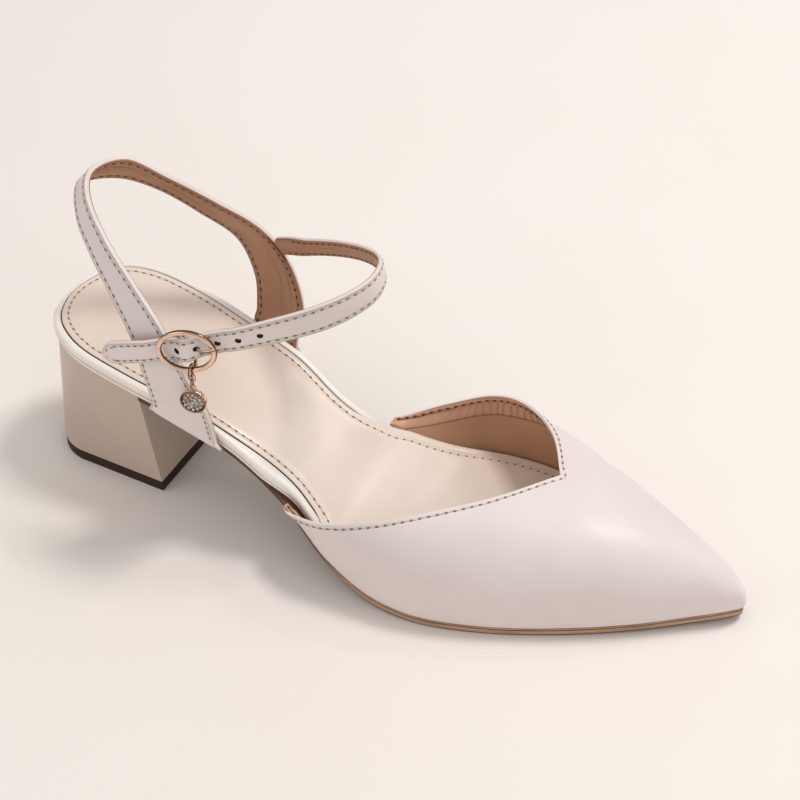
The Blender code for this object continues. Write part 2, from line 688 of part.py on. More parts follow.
class StrapPath:
    """The ankle strap's outer face as a grid, and a frame of axes at any length along it."""

    def __init__(self):
        at = np.linspace(0, len(ANKLE) - 1, 161)
        lines = np.array([band_line(row) for row in ANKLE])
        low, high = smooth(lines[:, 0], at), smooth(lines[:, 1], at)
        middle = (low + high) / 2
        steps = np.linalg.norm(np.diff(middle, axis=0), axis=1)
        self.lengths = np.concatenate([[0], np.cumsum(steps)])
        self.middle, self.half = middle, (high - low) / 2
        self.along = unit(np.gradient(middle, axis=0))
        self.out = unit(np.cross(self.half, self.along))
        self.buckle_at = BUCKLE_SHARE * self.lengths[-1]
        self.half_at_buckle = float(np.linalg.norm(self.pick(self.half, self.buckle_at)))

    def pick(self, values, length):
        """A value of the path at a length along it."""
        return np.array([np.interp(length, self.lengths, values[:, axis]) for axis in range(3)]).T

    def wave(self, length):
        """How far the strap rises over the buckle's bar, and dips where the frame crosses over it."""
        away = np.abs(length - self.buckle_at)
        half_length, half_width = frame_halves()
        narrow = min(self.half_at_buckle / half_width, 0.9)
        rising = half_length * math.sqrt(1 - narrow**2) - FRAME_WIRE / 2
        middle, swing = (STRAP_RISE - STRAP_DIP) / 2, (STRAP_RISE + STRAP_DIP) / 2
        over = middle + swing * np.cos(math.pi * np.minimum(away, rising) / rising)
        fade = np.clip((away - half_length - FRAME_WIRE / 2) / (0.8 * half_length), 0, 1)
        return np.where(away <= rising, over, -STRAP_DIP * (1 + np.cos(math.pi * fade)) / 2)

    def frame(self, length):
        """Origin on the strap's outer face, and axes toward the front, along the bar upward, and outward."""
        forward = -unit(self.pick(self.along, length))
        out = unit(self.pick(self.out, length))
        up = unit(np.cross(out, forward))
        if up[2] < 0:
            up, out = -up, -out
        out = unit(np.cross(forward, up))
        return Matrix(
            [
                [forward[0], up[0], out[0], self.pick(self.middle, length)[0]],
                [forward[1], up[1], out[1], self.pick(self.middle, length)[1]],
                [forward[2], up[2], out[2], self.pick(self.middle, length)[2]],
                [0, 0, 0, 1],
            ]
        )

    def grid(self):
        """The outer and the inner face, with the buckle's wave and the round free end."""
        whole = self.lengths[-1]
        near = self.buckle_at + np.linspace(-1, 1, 15) * FRAME_LENGTH * 0.72
        tail = whole - STRAP_END_ROUND * (1 - np.sin(np.linspace(0, math.pi / 2, 7)))
        before = np.linspace(0, near[0], 27)[:-1]
        behind = np.linspace(near[-1], tail[0], 5)[1:-1]
        lengths = np.concatenate([before, near, behind, tail])
        middle, half = self.pick(self.middle, lengths), self.pick(self.half, lengths)
        out = unit(self.pick(self.out, lengths))
        left = np.clip((whole - lengths) / STRAP_END_ROUND, 0, 1)
        narrow = np.maximum(np.sqrt(1 - (1 - left) ** 2), 0.12)[:, None]
        middle = middle + out * self.wave(lengths)[:, None]
        thin = 0.5 * (1 - np.clip(lengths / STRAP_SKIVE, 0, 1)) ** 2
        face = sheet(middle - half * narrow, middle + half * narrow, 3)
        out, thin = out[:, None, :] * STRAP_THICKNESS, thin[:, None, None]
        return face - out * thin / 2, face - out * (1 - thin / 2)


def straps(material, path):
    """The sling, the ankle strap sewn into it, and the small loop that holds the buckle's bar."""
    grid = sling_grid()
    out = outward(grid)
    back = len(grid) // 2
    if out[back, 1, 0] > 0:
        out = -out
    to_end = np.minimum(np.arange(len(grid)), np.arange(len(grid))[::-1])
    thickness = SLING_THICKNESS * (1 - SLING_SKIVE * np.clip(1 - to_end / 5, 0, 1))
    sling = solid("straps", *between(grid, grid - out * thickness[:, None, None]), material)

    outer, inner = path.grid()
    ankle = solid("ankle_strap_shape", *between(outer, inner), material, helper=True)
    for number in range(-HOLES_AFTER, HOLES_BEFORE + 1):
        length = path.buckle_at - PRONG_HOLE_AHEAD + number * STRAP_HOLE_PITCH
        name = f"strap_hole_{number + HOLES_AFTER}"
        hole = wire(name, hole_axis(path, length), STRAP_HOLE, material, helper=True, sides=12)
        apply_boolean(ankle, hole, "DIFFERENCE")
    apply_boolean(sling, ankle, "UNION")
    apply_boolean(sling, bar_loop(material, path), "UNION")
    return sling


def hole_axis(path, length):
    """Two points on a hole's axis, clear of both faces of the strap."""
    frame = path.frame(length)
    level = float(path.wave(length)) - STRAP_THICKNESS / 2
    reach = STRAP_THICKNESS * 1.5
    return [frame @ Vector((0, 0, level + reach * side)) for side in (-1, 1)]


def frame_halves():
    """Half the length and half the width of the frame, between the middles of its wire."""
    return (FRAME_LENGTH - FRAME_WIRE) / 2, (FRAME_WIDTH - FRAME_WIRE) / 2


def bar_level():
    """How far the bar's middle lies outward of the strap's outer face: under the strap and the loop."""
    under_strap = STRAP_RISE - STRAP_THICKNESS - CLEARANCE
    return under_strap - LOOP_LEATHER - CLEARANCE - BAR_WIRE / 2


def frame_level():
    """How far the frame's middle lies outward of the strap's outer face."""
    return -STRAP_DIP + 2 * CLEARANCE + FRAME_WIRE / 2


def bar_loop(material, path):
    """The folded leather loop: a sleeve round the bar, slotted for the prong, with its tail sewn on."""
    frame, level = path.frame(path.buckle_at), bar_level()
    hole = BAR_WIRE / 2 + CLEARANCE
    outside = hole + LOOP_LEATHER
    shape = bmesh.new()
    tail = [(-LOOP_TAIL, level - outside), (-LOOP_TAIL, level - outside + 2 * LOOP_LEATHER)]
    start, end = math.radians(-90), math.radians(150)
    arc = [start + (end - start) * number / 13 for number in range(14)]
    profile = [(math.cos(turn) * outside, level + math.sin(turn) * outside) for turn in arc]
    profile += tail[::-1]
    rings = []
    for across in (-LOOP_WIDTH / 2, LOOP_WIDTH / 2):
        rings.append([shape.verts.new(frame @ Vector((x, across, z))) for x, z in profile])
    for number in range(len(profile)):
        follow = (number + 1) % len(profile)
        shape.faces.new([rings[0][number], rings[0][follow], rings[1][follow], rings[1][number]])
    for ring in rings:
        shape.faces.new(ring)
    bmesh.ops.recalc_face_normals(shape, faces=shape.faces)
    mesh = bpy.data.meshes.new("bar_loop_shape")
    shape.to_mesh(mesh)
    shape.free()
    loop = add("bar_loop_shape", mesh, material, helper=True)
    reach = LOOP_WIDTH
    bore_points = [frame @ Vector((0, side * reach, level)) for side in (-1, 1)]
    bore = wire("bar_bore", bore_points, 2 * hole, material, helper=True, sides=12)
    apply_boolean(loop, bore, "DIFFERENCE")
    slot = block("prong_slot", frame, (-outside - 0.0006, 3 * outside), LOOP_SLOT, level, material)
    apply_boolean(loop, slot, "DIFFERENCE")
    return loop


def block(name, frame, along, width, level, material):
    """A box in the buckle's axes, used as a cutter."""
    vertices = [
        frame @ Vector((x, y, level + z))
        for x in along
        for y in (-width / 2, width / 2)
        for z in (-4 * BAR_WIRE, 4 * BAR_WIRE)
    ]
    faces = [(0, 1, 3, 2), (4, 6, 7, 5), (0, 4, 5, 1), (2, 3, 7, 6), (0, 2, 6, 4), (1, 5, 7, 3)]
    return solid(name, vertices, faces, material, helper=True)


def buckle_frame(material, path):
    """The oval frame, over the strap at both ends, with its bar dipping under the strap."""
    frame = path.frame(path.buckle_at)
    half_length, half_width = frame_halves()
    turns = [2 * math.pi * number / 28 for number in range(28)]
    oval = [Vector((half_length * math.cos(t), half_width * math.sin(t), frame_level())) for t in turns]
    ring = wire("buckle_frame", [frame @ point for point in oval], FRAME_WIRE, material, closed=True)
    top, low = frame_level(), bar_level()
    line = [(half_width, top), (BAR_REACH + 0.0012, (top + low) / 2 + 0.0003), (BAR_REACH - 0.0002, low)]
    line += [(-across, height) for across, height in reversed(line)]
    bar_points = [frame @ Vector((0, y, z)) for y, z in line]
    bar = wire("buckle_bar_shape", bar_points, BAR_WIRE, material, helper=True)
    apply_boolean(ring, bar, "UNION")
    return ring


def buckle_prong(material, path):
    """The prong: an eye round the bar, a shank up through the strap's hole, and a tip over the frame."""
    frame, level = path.frame(path.buckle_at), bar_level()
    hole = PRONG_HOLE_AHEAD
    over = frame_level() + FRAME_WIRE / 2 + CLEARANCE + PRONG_WIRE / 2
    eye = BAR_WIRE / 2 + CLEARANCE
    above = float(path.wave(path.buckle_at - hole))
    under = above - STRAP_THICKNESS
    route = [
        (eye + PRONG_WIRE / 2, level),
        (hole - 0.0008, level + 0.0001),
        (hole - 0.0002, under - 0.0002),
        (hole + 0.0002, above - 0.0002),
        (hole + 0.0012, above + 0.0010),
        (hole + 0.0030, (above + over) / 2 + 0.0009),
        (FRAME_LENGTH / 2 - FRAME_WIRE, over + 0.0001),
        (FRAME_LENGTH / 2 + 0.0006, over - 0.0001),
    ]
    at = np.linspace(0, len(route) - 1, 2 * (len(route) - 1) + 1)
    points = [frame @ Vector((x, 0, z)) for x, z in smooth(route, at)]
    radii = [1.0] * (len(points) - 3) + [0.95, 0.85, 0.6]
    shank = wire("buckle_prong", points, PRONG_WIRE, material, radii=radii)
    eye_points = prong_eye_points(frame, level, eye)
    ring = wire("prong_eye_shape", eye_points, PRONG_EYE_WIRE, material, True, True, 6)
    apply_boolean(shank, ring, "UNION")
    return shank


def prong_eye_points(frame, level, eye):
    """The circle of the prong's eye, round the bar."""
    radius = eye + PRONG_EYE_WIRE / 2
    turns = [2 * math.pi * number / 12 for number in range(12)]
    return [frame @ Vector((radius * math.cos(t), 0, level + radius * math.sin(t))) for t in turns]


def oval_points(center, long_axis, short_axis, length, width, count=14):
    """A closed oval: two half circles joined by straight sides."""
    radius = width / 2
    straight = (length - width) / 2
    points = []
    for number in range(count):
        turn = 2 * math.pi * (number + 0.5) / count
        shift = straight if math.cos(turn) > 0 else -straight
        along = radius * math.cos(turn) + shift
        points.append(center + long_axis * along + short_axis * radius * math.sin(turn))
    return points


def pivot(name, location, parent):
    """An empty on a joint's axis."""
    made = bpy.data.objects.new(name, None)
    made.empty_display_size = 0.004
    bpy.context.scene.collection.objects.link(made)
    made.parent = parent
    made.location = location
    return made


def hang(piece, empty, world):
    """Puts a piece, modelled in place, under the empty of its joint."""
    piece.data.transform(Matrix.Translation(-world))
    piece.parent = empty


def chain_and_charm(material, path, root):
    """The jump ring on the frame, two links and the pendant, each hanging in the one above it.

    They lie against the sling, so they lean outward from straight down.
    """
    frame = path.frame(path.buckle_at)
    sideways = Vector((frame[0][0], frame[1][0], 0)).normalized()
    lean = Matrix.Rotation(-CHAIN_LEAN, 3, sideways)
    outside = lean @ Vector((frame[0][2], frame[1][2], 0)).normalized()
    down = lean @ Vector((0, 0, -1))
    half_length, half_width = frame_halves()
    turn = -math.asin(RING_BEHIND_BAR / half_length)
    hook = frame @ Vector((half_length * math.sin(turn), -half_width * math.cos(turn), frame_level()))
    rest = FRAME_WIRE / 2 + CLEARANCE + RING_PLAY + RING_WIRE / 2
    below = FRAME_WIRE / 2 + 2 * CLEARANCE + LINK_WIRE + CLEARANCE + RING_WIRE / 2
    radius = (rest + below) / 2
    ring_center = hook + down * (radius - rest)
    ring_points = oval_points(ring_center, down, outside, 2 * radius, 2 * radius)
    pieces = [wire("chain_ring", ring_points, RING_WIRE, material, True)]
    low = ring_center + down * radius
    inner_length, inner_width = LINK_LENGTH - LINK_WIRE, LINK_WIDTH - LINK_WIRE
    wire_above = RING_WIRE
    for number, axis in ((1, sideways), (2, outside)):
        seat = wire_above / 2 + CLEARANCE + LINK_WIRE / 2
        center = low + down * (inner_length / 2 - seat)
        points = oval_points(center, down, axis, inner_length, inner_width)
        pieces.append(wire(f"chain_link_{number}", points, LINK_WIRE, material, True, sides=6))
        low = center + down * inner_length / 2
        wire_above = LINK_WIRE
    chain_pivot = pivot("chain_pivot", hook, root)
    for piece in pieces:
        hang(piece, chain_pivot, hook)

    bail_center = low + down * (BAIL_RADIUS - wire_above / 2 - CLEARANCE - LINK_WIRE / 2)
    bail_points = oval_points(bail_center, down, sideways, 2 * BAIL_RADIUS, 2 * BAIL_RADIUS)
    bail = wire("charm_bail_shape", bail_points, LINK_WIRE, material, True, True)
    center = bail_center + down * (BAIL_RADIUS + CHARM_RADIUS - LINK_WIRE * 0.5)
    charm = pendant(center, sideways, outside, -down, material)
    charm_pivot = pivot("charm_pivot", low - hook, chain_pivot)
    hang(charm, charm_pivot, low)
    hang(bail, charm_pivot, low)
    apply_boolean(charm, bail, "UNION")


def pendant(center, sideways, outside, up, material):
    """A round medal with a raised border and a domed face."""
    rings = (
        (0.55, -CHARM_THICKNESS / 2),
        (0.96, -CHARM_THICKNESS / 2),
        (1.00, -CHARM_THICKNESS / 4),
        (1.00, CHARM_THICKNESS / 4),
        (0.96, CHARM_THICKNESS / 2),
        (0.86, CHARM_THICKNESS / 2),
        (0.82, CHARM_THICKNESS / 4),
        (0.50, CHARM_THICKNESS / 4 + CHARM_DOME * 0.75),
    )
    count = 24
    vertices = [center - outside * CHARM_THICKNESS / 2]
    for share, level in rings:
        for number in range(count):
            turn = 2 * math.pi * number / count
            flat = sideways * math.cos(turn) + up * math.sin(turn)
            vertices.append(center + flat * CHARM_RADIUS * share + outside * level)
    vertices.append(center + outside * (CHARM_THICKNESS / 4 + CHARM_DOME))
    faces = []
    for number in range(count):
        follow = (number + 1) % count
        faces.append([0, 1 + number, 1 + follow])
        for ring in range(len(rings) - 1):
            low, high = 1 + ring * count, 1 + (ring + 1) * count
            faces.append([low + number, high + number, high + follow, low + follow])
        top = 1 + (len(rings) - 1) * count
        faces.append([top + number, len(vertices) - 1, top + follow])
    return solid("charm", vertices, faces, material)


def center_on_floor(root):
    """Moves the shoe so that the origin lies on the floor under the middle of its bounding box."""
    bpy.context.view_layer.update()
    graph = bpy.context.evaluated_depsgraph_get()
    corners = []
    for made in bpy.context.scene.objects:
        if made.type == "MESH" and not made.hide_render:
            evaluated = made.evaluated_get(graph)
            corners += [evaluated.matrix_world @ Vector(corner) for corner in evaluated.bound_box]
    low = [min(corner[axis] for corner in corners) for axis in range(3)]
    high = [max(corner[axis] for corner in corners) for axis in range(3)]
    root.location = (-(low[0] + high[0]) / 2, -(low[1] + high[1]) / 2, 0)


def main():
    for made in list(bpy.data.objects):
        bpy.data.objects.remove(made)

    upper = finish("upper_leather", (0.80, 0.74, 0.71), 0.42, coat=0.1)
    rim = finish("rim_leather", (0.84, 0.79, 0.74), 0.38, coat=0.15)
    lining = finish("sock_leather", (0.79, 0.67, 0.55), 0.32, coat=0.2)
    cover = finish("heel_leather", (0.62, 0.53, 0.47), 0.40, coat=0.1)
    sole = finish("sole_rubber", (0.27, 0.15, 0.09), 0.55)
    metal = finish("rose_gold", (0.83, 0.60, 0.42), 0.16, metallic=1.0)

    path = StrapPath()
    root = pivot("sandal", (0, 0, 0), None)
    shapes = [
        outsole(sole),
        insole_board(rim),
        sock(lining),
        heel_block(cover),
        heel_lift(sole),
        vamp(upper),
        straps(upper, path),
        buckle_frame(metal, path),
        buckle_prong(metal, path),
    ]
    for made in bpy.context.scene.objects:
        if made.type == "MESH" and (made in shapes or made.hide_render):
            made.parent = root
    chain_and_charm(metal, path, root)
    center_on_floor(root)


if __name__ == "__main__":
    main()
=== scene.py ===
"""The looks of a slingback court sandal with a block heel: the right shoe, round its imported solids.

Every form is worked out in the shoe's own axes, in metres: X from the back of the heel to the toe, Y to
the wearer's left (this right shoe's inner side) and Z up from the floor. ORIGIN moves it into the frame.
"""

from __future__ import annotations

import logging
import math
from dataclasses import dataclass, field
from enum import Enum
from typing import Any, NamedTuple, Sequence, Union

import bmesh
import bpy
import numpy as np
from mathutils import Matrix, Vector

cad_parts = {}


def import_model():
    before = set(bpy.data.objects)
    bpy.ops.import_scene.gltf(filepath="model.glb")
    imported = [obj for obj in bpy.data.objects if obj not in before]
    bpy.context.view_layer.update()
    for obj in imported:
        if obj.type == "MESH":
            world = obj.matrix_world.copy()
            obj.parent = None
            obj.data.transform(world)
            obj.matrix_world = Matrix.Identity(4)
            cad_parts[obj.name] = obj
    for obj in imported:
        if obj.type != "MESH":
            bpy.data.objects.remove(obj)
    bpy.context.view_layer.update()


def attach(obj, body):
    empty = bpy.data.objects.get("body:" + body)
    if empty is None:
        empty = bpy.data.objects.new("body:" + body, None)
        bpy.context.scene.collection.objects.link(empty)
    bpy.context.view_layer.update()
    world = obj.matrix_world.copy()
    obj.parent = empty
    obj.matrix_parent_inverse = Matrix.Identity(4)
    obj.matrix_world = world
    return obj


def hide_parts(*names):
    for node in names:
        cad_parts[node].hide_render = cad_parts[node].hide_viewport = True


LOG = logging.getLogger("sandal")
ORIGIN = np.array([-0.122577, -0.004047, 0.0])
MM = 0.001
RUN = "run"
FACING = "facing"
Material = bpy.types.Material


class Side(Enum):
    """A side of the shoe, with the sign of its Y."""

    OUTER = -1
    INNER = 1


class Body(Enum):
    """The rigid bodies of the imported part."""

    SHOE = "shoe"
    CHAIN = "chain"
    CHARM = "charm"


class Slot(Enum):
    """The material slots of the record."""

    UPPER = "upper_leather"
    RIM = "rim_leather"
    SOCK = "sock_leather"
    HEEL = "heel_leather"
    SOLE = "sole_rubber"
    METAL = "rose_gold"


# Curves through points


def unit(vectors: np.ndarray) -> np.ndarray:
    """Vectors of length one."""
    return vectors / np.maximum(np.linalg.norm(vectors, axis=-1, keepdims=True), 1e-12)


def ease(share: np.ndarray | float) -> np.ndarray:
    """A share that starts and stops gently, held between 0 and 1."""
    held = np.clip(share, 0, 1)
    return held * held * (3 - 2 * held)


def hermite(knots: np.ndarray, values: np.ndarray, slopes: np.ndarray, at: np.ndarray) -> np.ndarray:
    """Cubic pieces with given values and slopes.

    Args:
        knots: places of the values.
        values: one value or point for each knot.
        slopes: the slope at each knot.
        at: the places asked for.

    Returns:
        The values there.
    """
    place = np.clip(np.searchsorted(knots, at, side="right") - 1, 0, len(knots) - 2)
    span = (knots[place + 1] - knots[place]).astype(float)
    part = (at - knots[place]) / span
    if values.ndim > 1:
        part, span = part[:, None], span[:, None]
    square, cube = part**2, part**3
    rise = (cube - 2 * square + part) * slopes[place] * span + (cube - square) * slopes[place + 1] * span
    return (2 * cube - 3 * square + 1) * values[place] + (3 * square - 2 * cube) * values[place + 1] + rise


def eased(knots: Sequence[float], values: Sequence[float], at: Any) -> np.ndarray:
    """A smooth curve through values that never swings past them.

    Args:
        knots: rising places.
        values: a value for each of them.
        at: the places asked for.

    Returns:
        The values there.
    """
    where, heights, wanted = (np.asarray(each, float) for each in (knots, values, at))
    steps = np.diff(heights) / np.diff(where)
    slopes = np.zeros(len(heights))
    same = steps[:-1] * steps[1:] > 0
    slopes[1:-1][same] = (2 * steps[:-1] * steps[1:])[same] / (steps[:-1] + steps[1:])[same]
    slopes[0], slopes[-1] = steps[0], steps[-1]
    return hermite(where, heights, slopes, wanted)


def smooth(points: Any, at: Any, before: Any = None, after: Any = None) -> np.ndarray:
    """A smooth curve through points numbered 0, 1, 2 and on.

    Args:
        points: the points, one a row.
        at: the numbers asked for.
        before: a point that steers the start, or None.
        after: a point that steers the end, or None.

    Returns:
        The points there.
    """
    track = np.asarray(points, float)
    first = 2 * track[0] - track[1] if before is None else np.asarray(before, float)
    last = 2 * track[-1] - track[-2] if after is None else np.asarray(after, float)
    longer = np.vstack([[first], track, [last]])
    return hermite(np.arange(len(track)), track, (longer[2:] - longer[:-2]) / 2, np.asarray(at, float))


def between(at: Any, knots: np.ndarray, values: np.ndarray) -> np.ndarray:
    """Straight in-between values of rows of numbers, given at rising knots."""
    return np.stack([np.interp(at, knots, column) for column in values.T], axis=-1)


def lengths_along(points: np.ndarray) -> np.ndarray:
    """The length run up to each point of a line."""
    return np.concatenate([[0.0], np.cumsum(np.linalg.norm(np.diff(points, axis=0), axis=1))])


# The form of the last


class Station(NamedTuple):
    """One cross-section of the sole, in shares of named sizes."""

    along: float
    width: float
    outer: float
    inner: float
    rise: float
    spring: float


class Top(NamedTuple):
    """Where the vamp ends above one point of its lower edge, in shares of named sizes."""

    foot: float
    along: float
    aside: float
    up: float
    lean: float
    swell: float
    fullness: float


class Band(NamedTuple):
    """One crosswise line of a strap between its low and its high edge, in shares of named sizes."""

    low_along: float
    low_aside: float
    low_up: float
    high_along: float
    high_aside: float
    high_up: float


class Crease(NamedTuple):
    """A listed soft trough: its ends as shares along and across, both widths and depth in mm."""

    inner: bool
    start: tuple[float, float]
    stop: tuple[float, float]
    half_width: float
    depth: float


class Tab(NamedTuple):
    """One crosswise line of the sling's foot, outside the rim."""

    back: float
    front: float
    off: float
    above: float


SEAT, WAIST, BALL = 0.052, 0.049, 0.080
STATIONS = (
    Station(0.000, SEAT, 0.000, 0.000, 0.943, 0.00),
    Station(0.012, SEAT, 0.221, 0.227, 0.987, 0.00),
    Station(0.041, SEAT, 0.377, 0.396, 1.000, 0.00),
    Station(0.090, SEAT, 0.481, 0.477, 0.981, 0.00),
    Station(0.163, SEAT, 0.513, 0.479, 0.926, 0.00),
    Station(0.245, WAIST, 0.535, 0.475, 0.828, 0.00),
    Station(0.327, WAIST, 0.535, 0.445, 0.692, 0.00),
    Station(0.408, WAIST, 0.578, 0.450, 0.457, 0.00),
    Station(0.490, BALL, 0.432, 0.362, 0.187, 0.00),
    Station(0.571, BALL, 0.458, 0.483, 0.026, 0.00),
    Station(0.637, BALL, 0.441, 0.535, 0.000, 0.00),
    Station(0.714, BALL, 0.366, 0.527, 0.000, 0.00),
    Station(0.796, BALL, 0.247, 0.450, 0.000, 0.10),
    Station(0.878, BALL, 0.100, 0.356, 0.000, 0.32),
    Station(0.947, BALL, -0.050, 0.290, 0.000, 0.65),
    Station(0.984, BALL, -0.134, 0.243, 0.000, 0.88),
    Station(1.000, BALL, -0.190, 0.190, 0.000, 1.00),
)
THROAT = {
    Side.OUTER: (
        Top(0.416, 0.4180, -0.382, 0.655, 0.50, 0.50, 1.00),
        Top(0.434, 0.4330, -0.402, 0.664, 0.40, 0.50, 1.00),
        Top(0.490, 0.4880, -0.427, 0.776, 0.20, 0.58, 1.00),
        Top(0.555, 0.5510, -0.367, 0.888, 0.02, 0.70, 1.00),
        Top(0.620, 0.6110, -0.256, 0.976, 0.00, 0.80, 1.00),
        Top(0.694, 0.6763, -0.074, 1.008, 0.02, 0.90, 1.10),
    ),
    Side.INNER: (
        Top(0.452, 0.4570, 0.352, 0.519, 0.50, 0.50, 1.00),
        Top(0.468, 0.4720, 0.402, 0.534, 0.55, 0.48, 1.00),
        Top(0.510, 0.5090, 0.490, 0.596, 0.58, 0.45, 1.00),
        Top(0.576, 0.5710, 0.560, 0.759, 0.55, 0.50, 1.00),
        Top(0.641, 0.6320, 0.515, 0.905, 0.00, 0.66, 1.00),
        Top(0.706, 0.6918, 0.368, 0.984, 0.00, 0.86, 1.10),
    ),
}
RIDGE = (
    Top(0.768, 0.7350, 0.163, 1.000, 0.03, 1.00, 1.25),
    Top(0.829, 0.7950, 0.164, 0.940, 0.03, 1.00, 1.35),
    Top(0.889, 0.8590, 0.168, 0.832, 0.03, 1.00, 1.35),
    Top(0.939, 0.9140, 0.176, 0.692, 0.03, 0.98, 1.25),
    Top(0.973, 0.9550, 0.184, 0.556, 0.03, 0.92, 1.15),
    Top(1.000, 0.9800, 0.188, 0.440, 0.03, 0.85, 1.00),
)
SLING = {
    Side.OUTER: (
        Band(0.2171, 0.923, 0.487, 0.3102, 0.951, 0.487),
        Band(0.2135, 0.954, 0.571, 0.2955, 0.991, 0.580),
        Band(0.2065, 0.960, 0.672, 0.2545, 0.921, 0.743),
    ),
    Side.INNER: (
        Band(0.2430, 0.846, 0.451, 0.3106, 0.948, 0.469),
        Band(0.2350, 0.954, 0.545, 0.2898, 1.003, 0.616),
        Band(0.2102, 0.966, 0.666, 0.2535, 0.923, 0.745),
    ),
}
SLING_BACK = (
    Band(0.1670, 0.806, 0.763, 0.1990, 0.757, 0.836),
    Band(0.1210, 0.622, 0.850, 0.1445, 0.578, 0.918),
    Band(0.0796, 0.375, 0.910, 0.1004, 0.357, 0.996),
    Band(0.0518, 0.000, 0.940, 0.0776, 0.000, 1.010),
)
TABS = {
    Side.OUTER: (Tab(0.208, 0.318, 0.70, 0.06), Tab(0.212, 0.314, 1.20, 0.42), Tab(0.217, 0.311, 1.15, 1.08)),
    Side.INNER: (Tab(0.238, 0.318, 0.70, 0.06), Tab(0.241, 0.315, 1.20, 0.42), Tab(0.243, 0.312, 1.15, 1.08)),
}
ANKLE = (
    Band(0.2375, 0.945, 0.611, 0.2506, 0.930, 0.688),
    Band(0.3457, 0.951, 0.714, 0.3563, 0.868, 0.788),
    Band(0.4257, 0.806, 0.786, 0.4318, 0.702, 0.859),
    Band(0.4743, 0.523, 0.824, 0.4759, 0.443, 0.901),
    Band(0.4865, 0.114, 0.826, 0.4841, 0.071, 0.905),
    Band(0.4539, -0.338, 0.805, 0.4514, -0.348, 0.887),
    Band(0.3812, -0.738, 0.766, 0.3829, -0.738, 0.845),
    Band(0.2853, -1.022, 0.689, 0.2869, -1.014, 0.771),
    Band(0.1686, -1.062, 0.586, 0.1669, -1.090, 0.661),
)


@dataclass(frozen=True)
class Last:
    """The sole's outline and heights, which every other piece follows."""

    length: float = 0.245
    ball_width: float = BALL
    heel_rise: float = 0.0471
    toe_spring: float = 0.0022
    clearance: float = 0.0003
    sole_thickness: float = 0.0030
    waist_thickness: float = 0.0018
    rim_height: float = 0.0050
    tuck: float = 0.0034
    board_end: Station = Station(0.229 / 0.245, BALL, -0.155, 0.155, 0.0, 0.5)

    @property
    def board_stations(self) -> tuple[Station, ...]:
        """The board's own cross-sections: it ends before the toe."""
        return STATIONS[:-3] + (self.board_end,)

    def feather(self, x: Any) -> np.ndarray:
        """Height of the line where the upper meets the outsole.

        Args:
            x: lengths from the back of the heel.

        Returns:
            The heights.
        """
        knots = [row.along * self.length for row in STATIONS]
        risen = [self.sole_thickness + row.rise * self.heel_rise for row in STATIONS]
        heights = [height + row.spring * self.toe_spring for height, row in zip(risen, STATIONS)]
        return eased(knots, heights, np.clip(x, 0, self.length))

    def underside(self, x: Any) -> np.ndarray:
        """Height of the outsole's underside above the floor.

        Args:
            x: lengths from the back of the heel.

        Returns:
            The heights.
        """
        forward = ease((np.asarray(x) / self.length - 0.42) / 0.14)
        gained = self.sole_thickness - self.waist_thickness
        return self.feather(x) - (self.waist_thickness + gained * forward)

    def board_inset(self, x: np.ndarray, soft: float) -> np.ndarray:
        """How far the board lies inside the sole's edge: it tucks in under the vamp, softly for the sock.

        Args:
            x: lengths from the back of the heel.
            soft: 1 for the sock's soft way, 0 for the quick one.

        Returns:
            The insets.
        """
        share = np.asarray(x) / self.length
        quick, slow = ease((share - 0.368) / 0.062), ease((share - 0.31) / 0.115)
        return self.tuck * (quick + (slow - quick) * soft)

    def edge(
        self, side: Side, number: Any, inset: Any = 0.0, stations: tuple[Station, ...] = STATIONS
    ) -> np.ndarray:
        """Points of the sole's edge on one side.

        Args:
            side: which side.
            number: station numbers, whole or in between.
            inset: how far inward the points move, one for all or one for each.
            stations: the cross-sections to follow.

        Returns:
            One flat point for each number.
        """
        places = np.atleast_1d(np.asarray(number, float))
        mine, other = ("outer", "inner") if side is Side.OUTER else ("inner", "outer")

        def point(row: Station, column: str, sign: int) -> list[float]:
            """The flat point of one cross-section."""
            return [row.along * self.length, sign * getattr(row, column) * row.width]

        track = [point(row, mine, side.value) for row in stations]
        ends = (point(stations[1], other, -side.value), point(stations[-2], other, -side.value))
        step = 0.02
        ahead = smooth(track, np.minimum(places + step, len(track) - 1), *ends)
        behind = smooth(track, np.maximum(places - step, 0), *ends)
        along = unit(ahead - behind)
        along[places <= 0] = (0, side.value)
        along[places >= len(track) - 1] = (0, -side.value)
        inward = np.stack([along[:, 1], -along[:, 0]], axis=1) * side.value
        return smooth(track, places, *ends) + inward * np.reshape(inset, (-1, 1))

    def number_at(self, side: Side, x: Any, stations: tuple[Station, ...] = STATIONS) -> np.ndarray:
        """The station numbers where the edge of one side crosses x."""
        numbers = np.linspace(0, len(stations) - 1, 3201)
        return np.interp(x, self.edge(side, numbers, 0.0, stations)[:, 0], numbers)


# Meshes


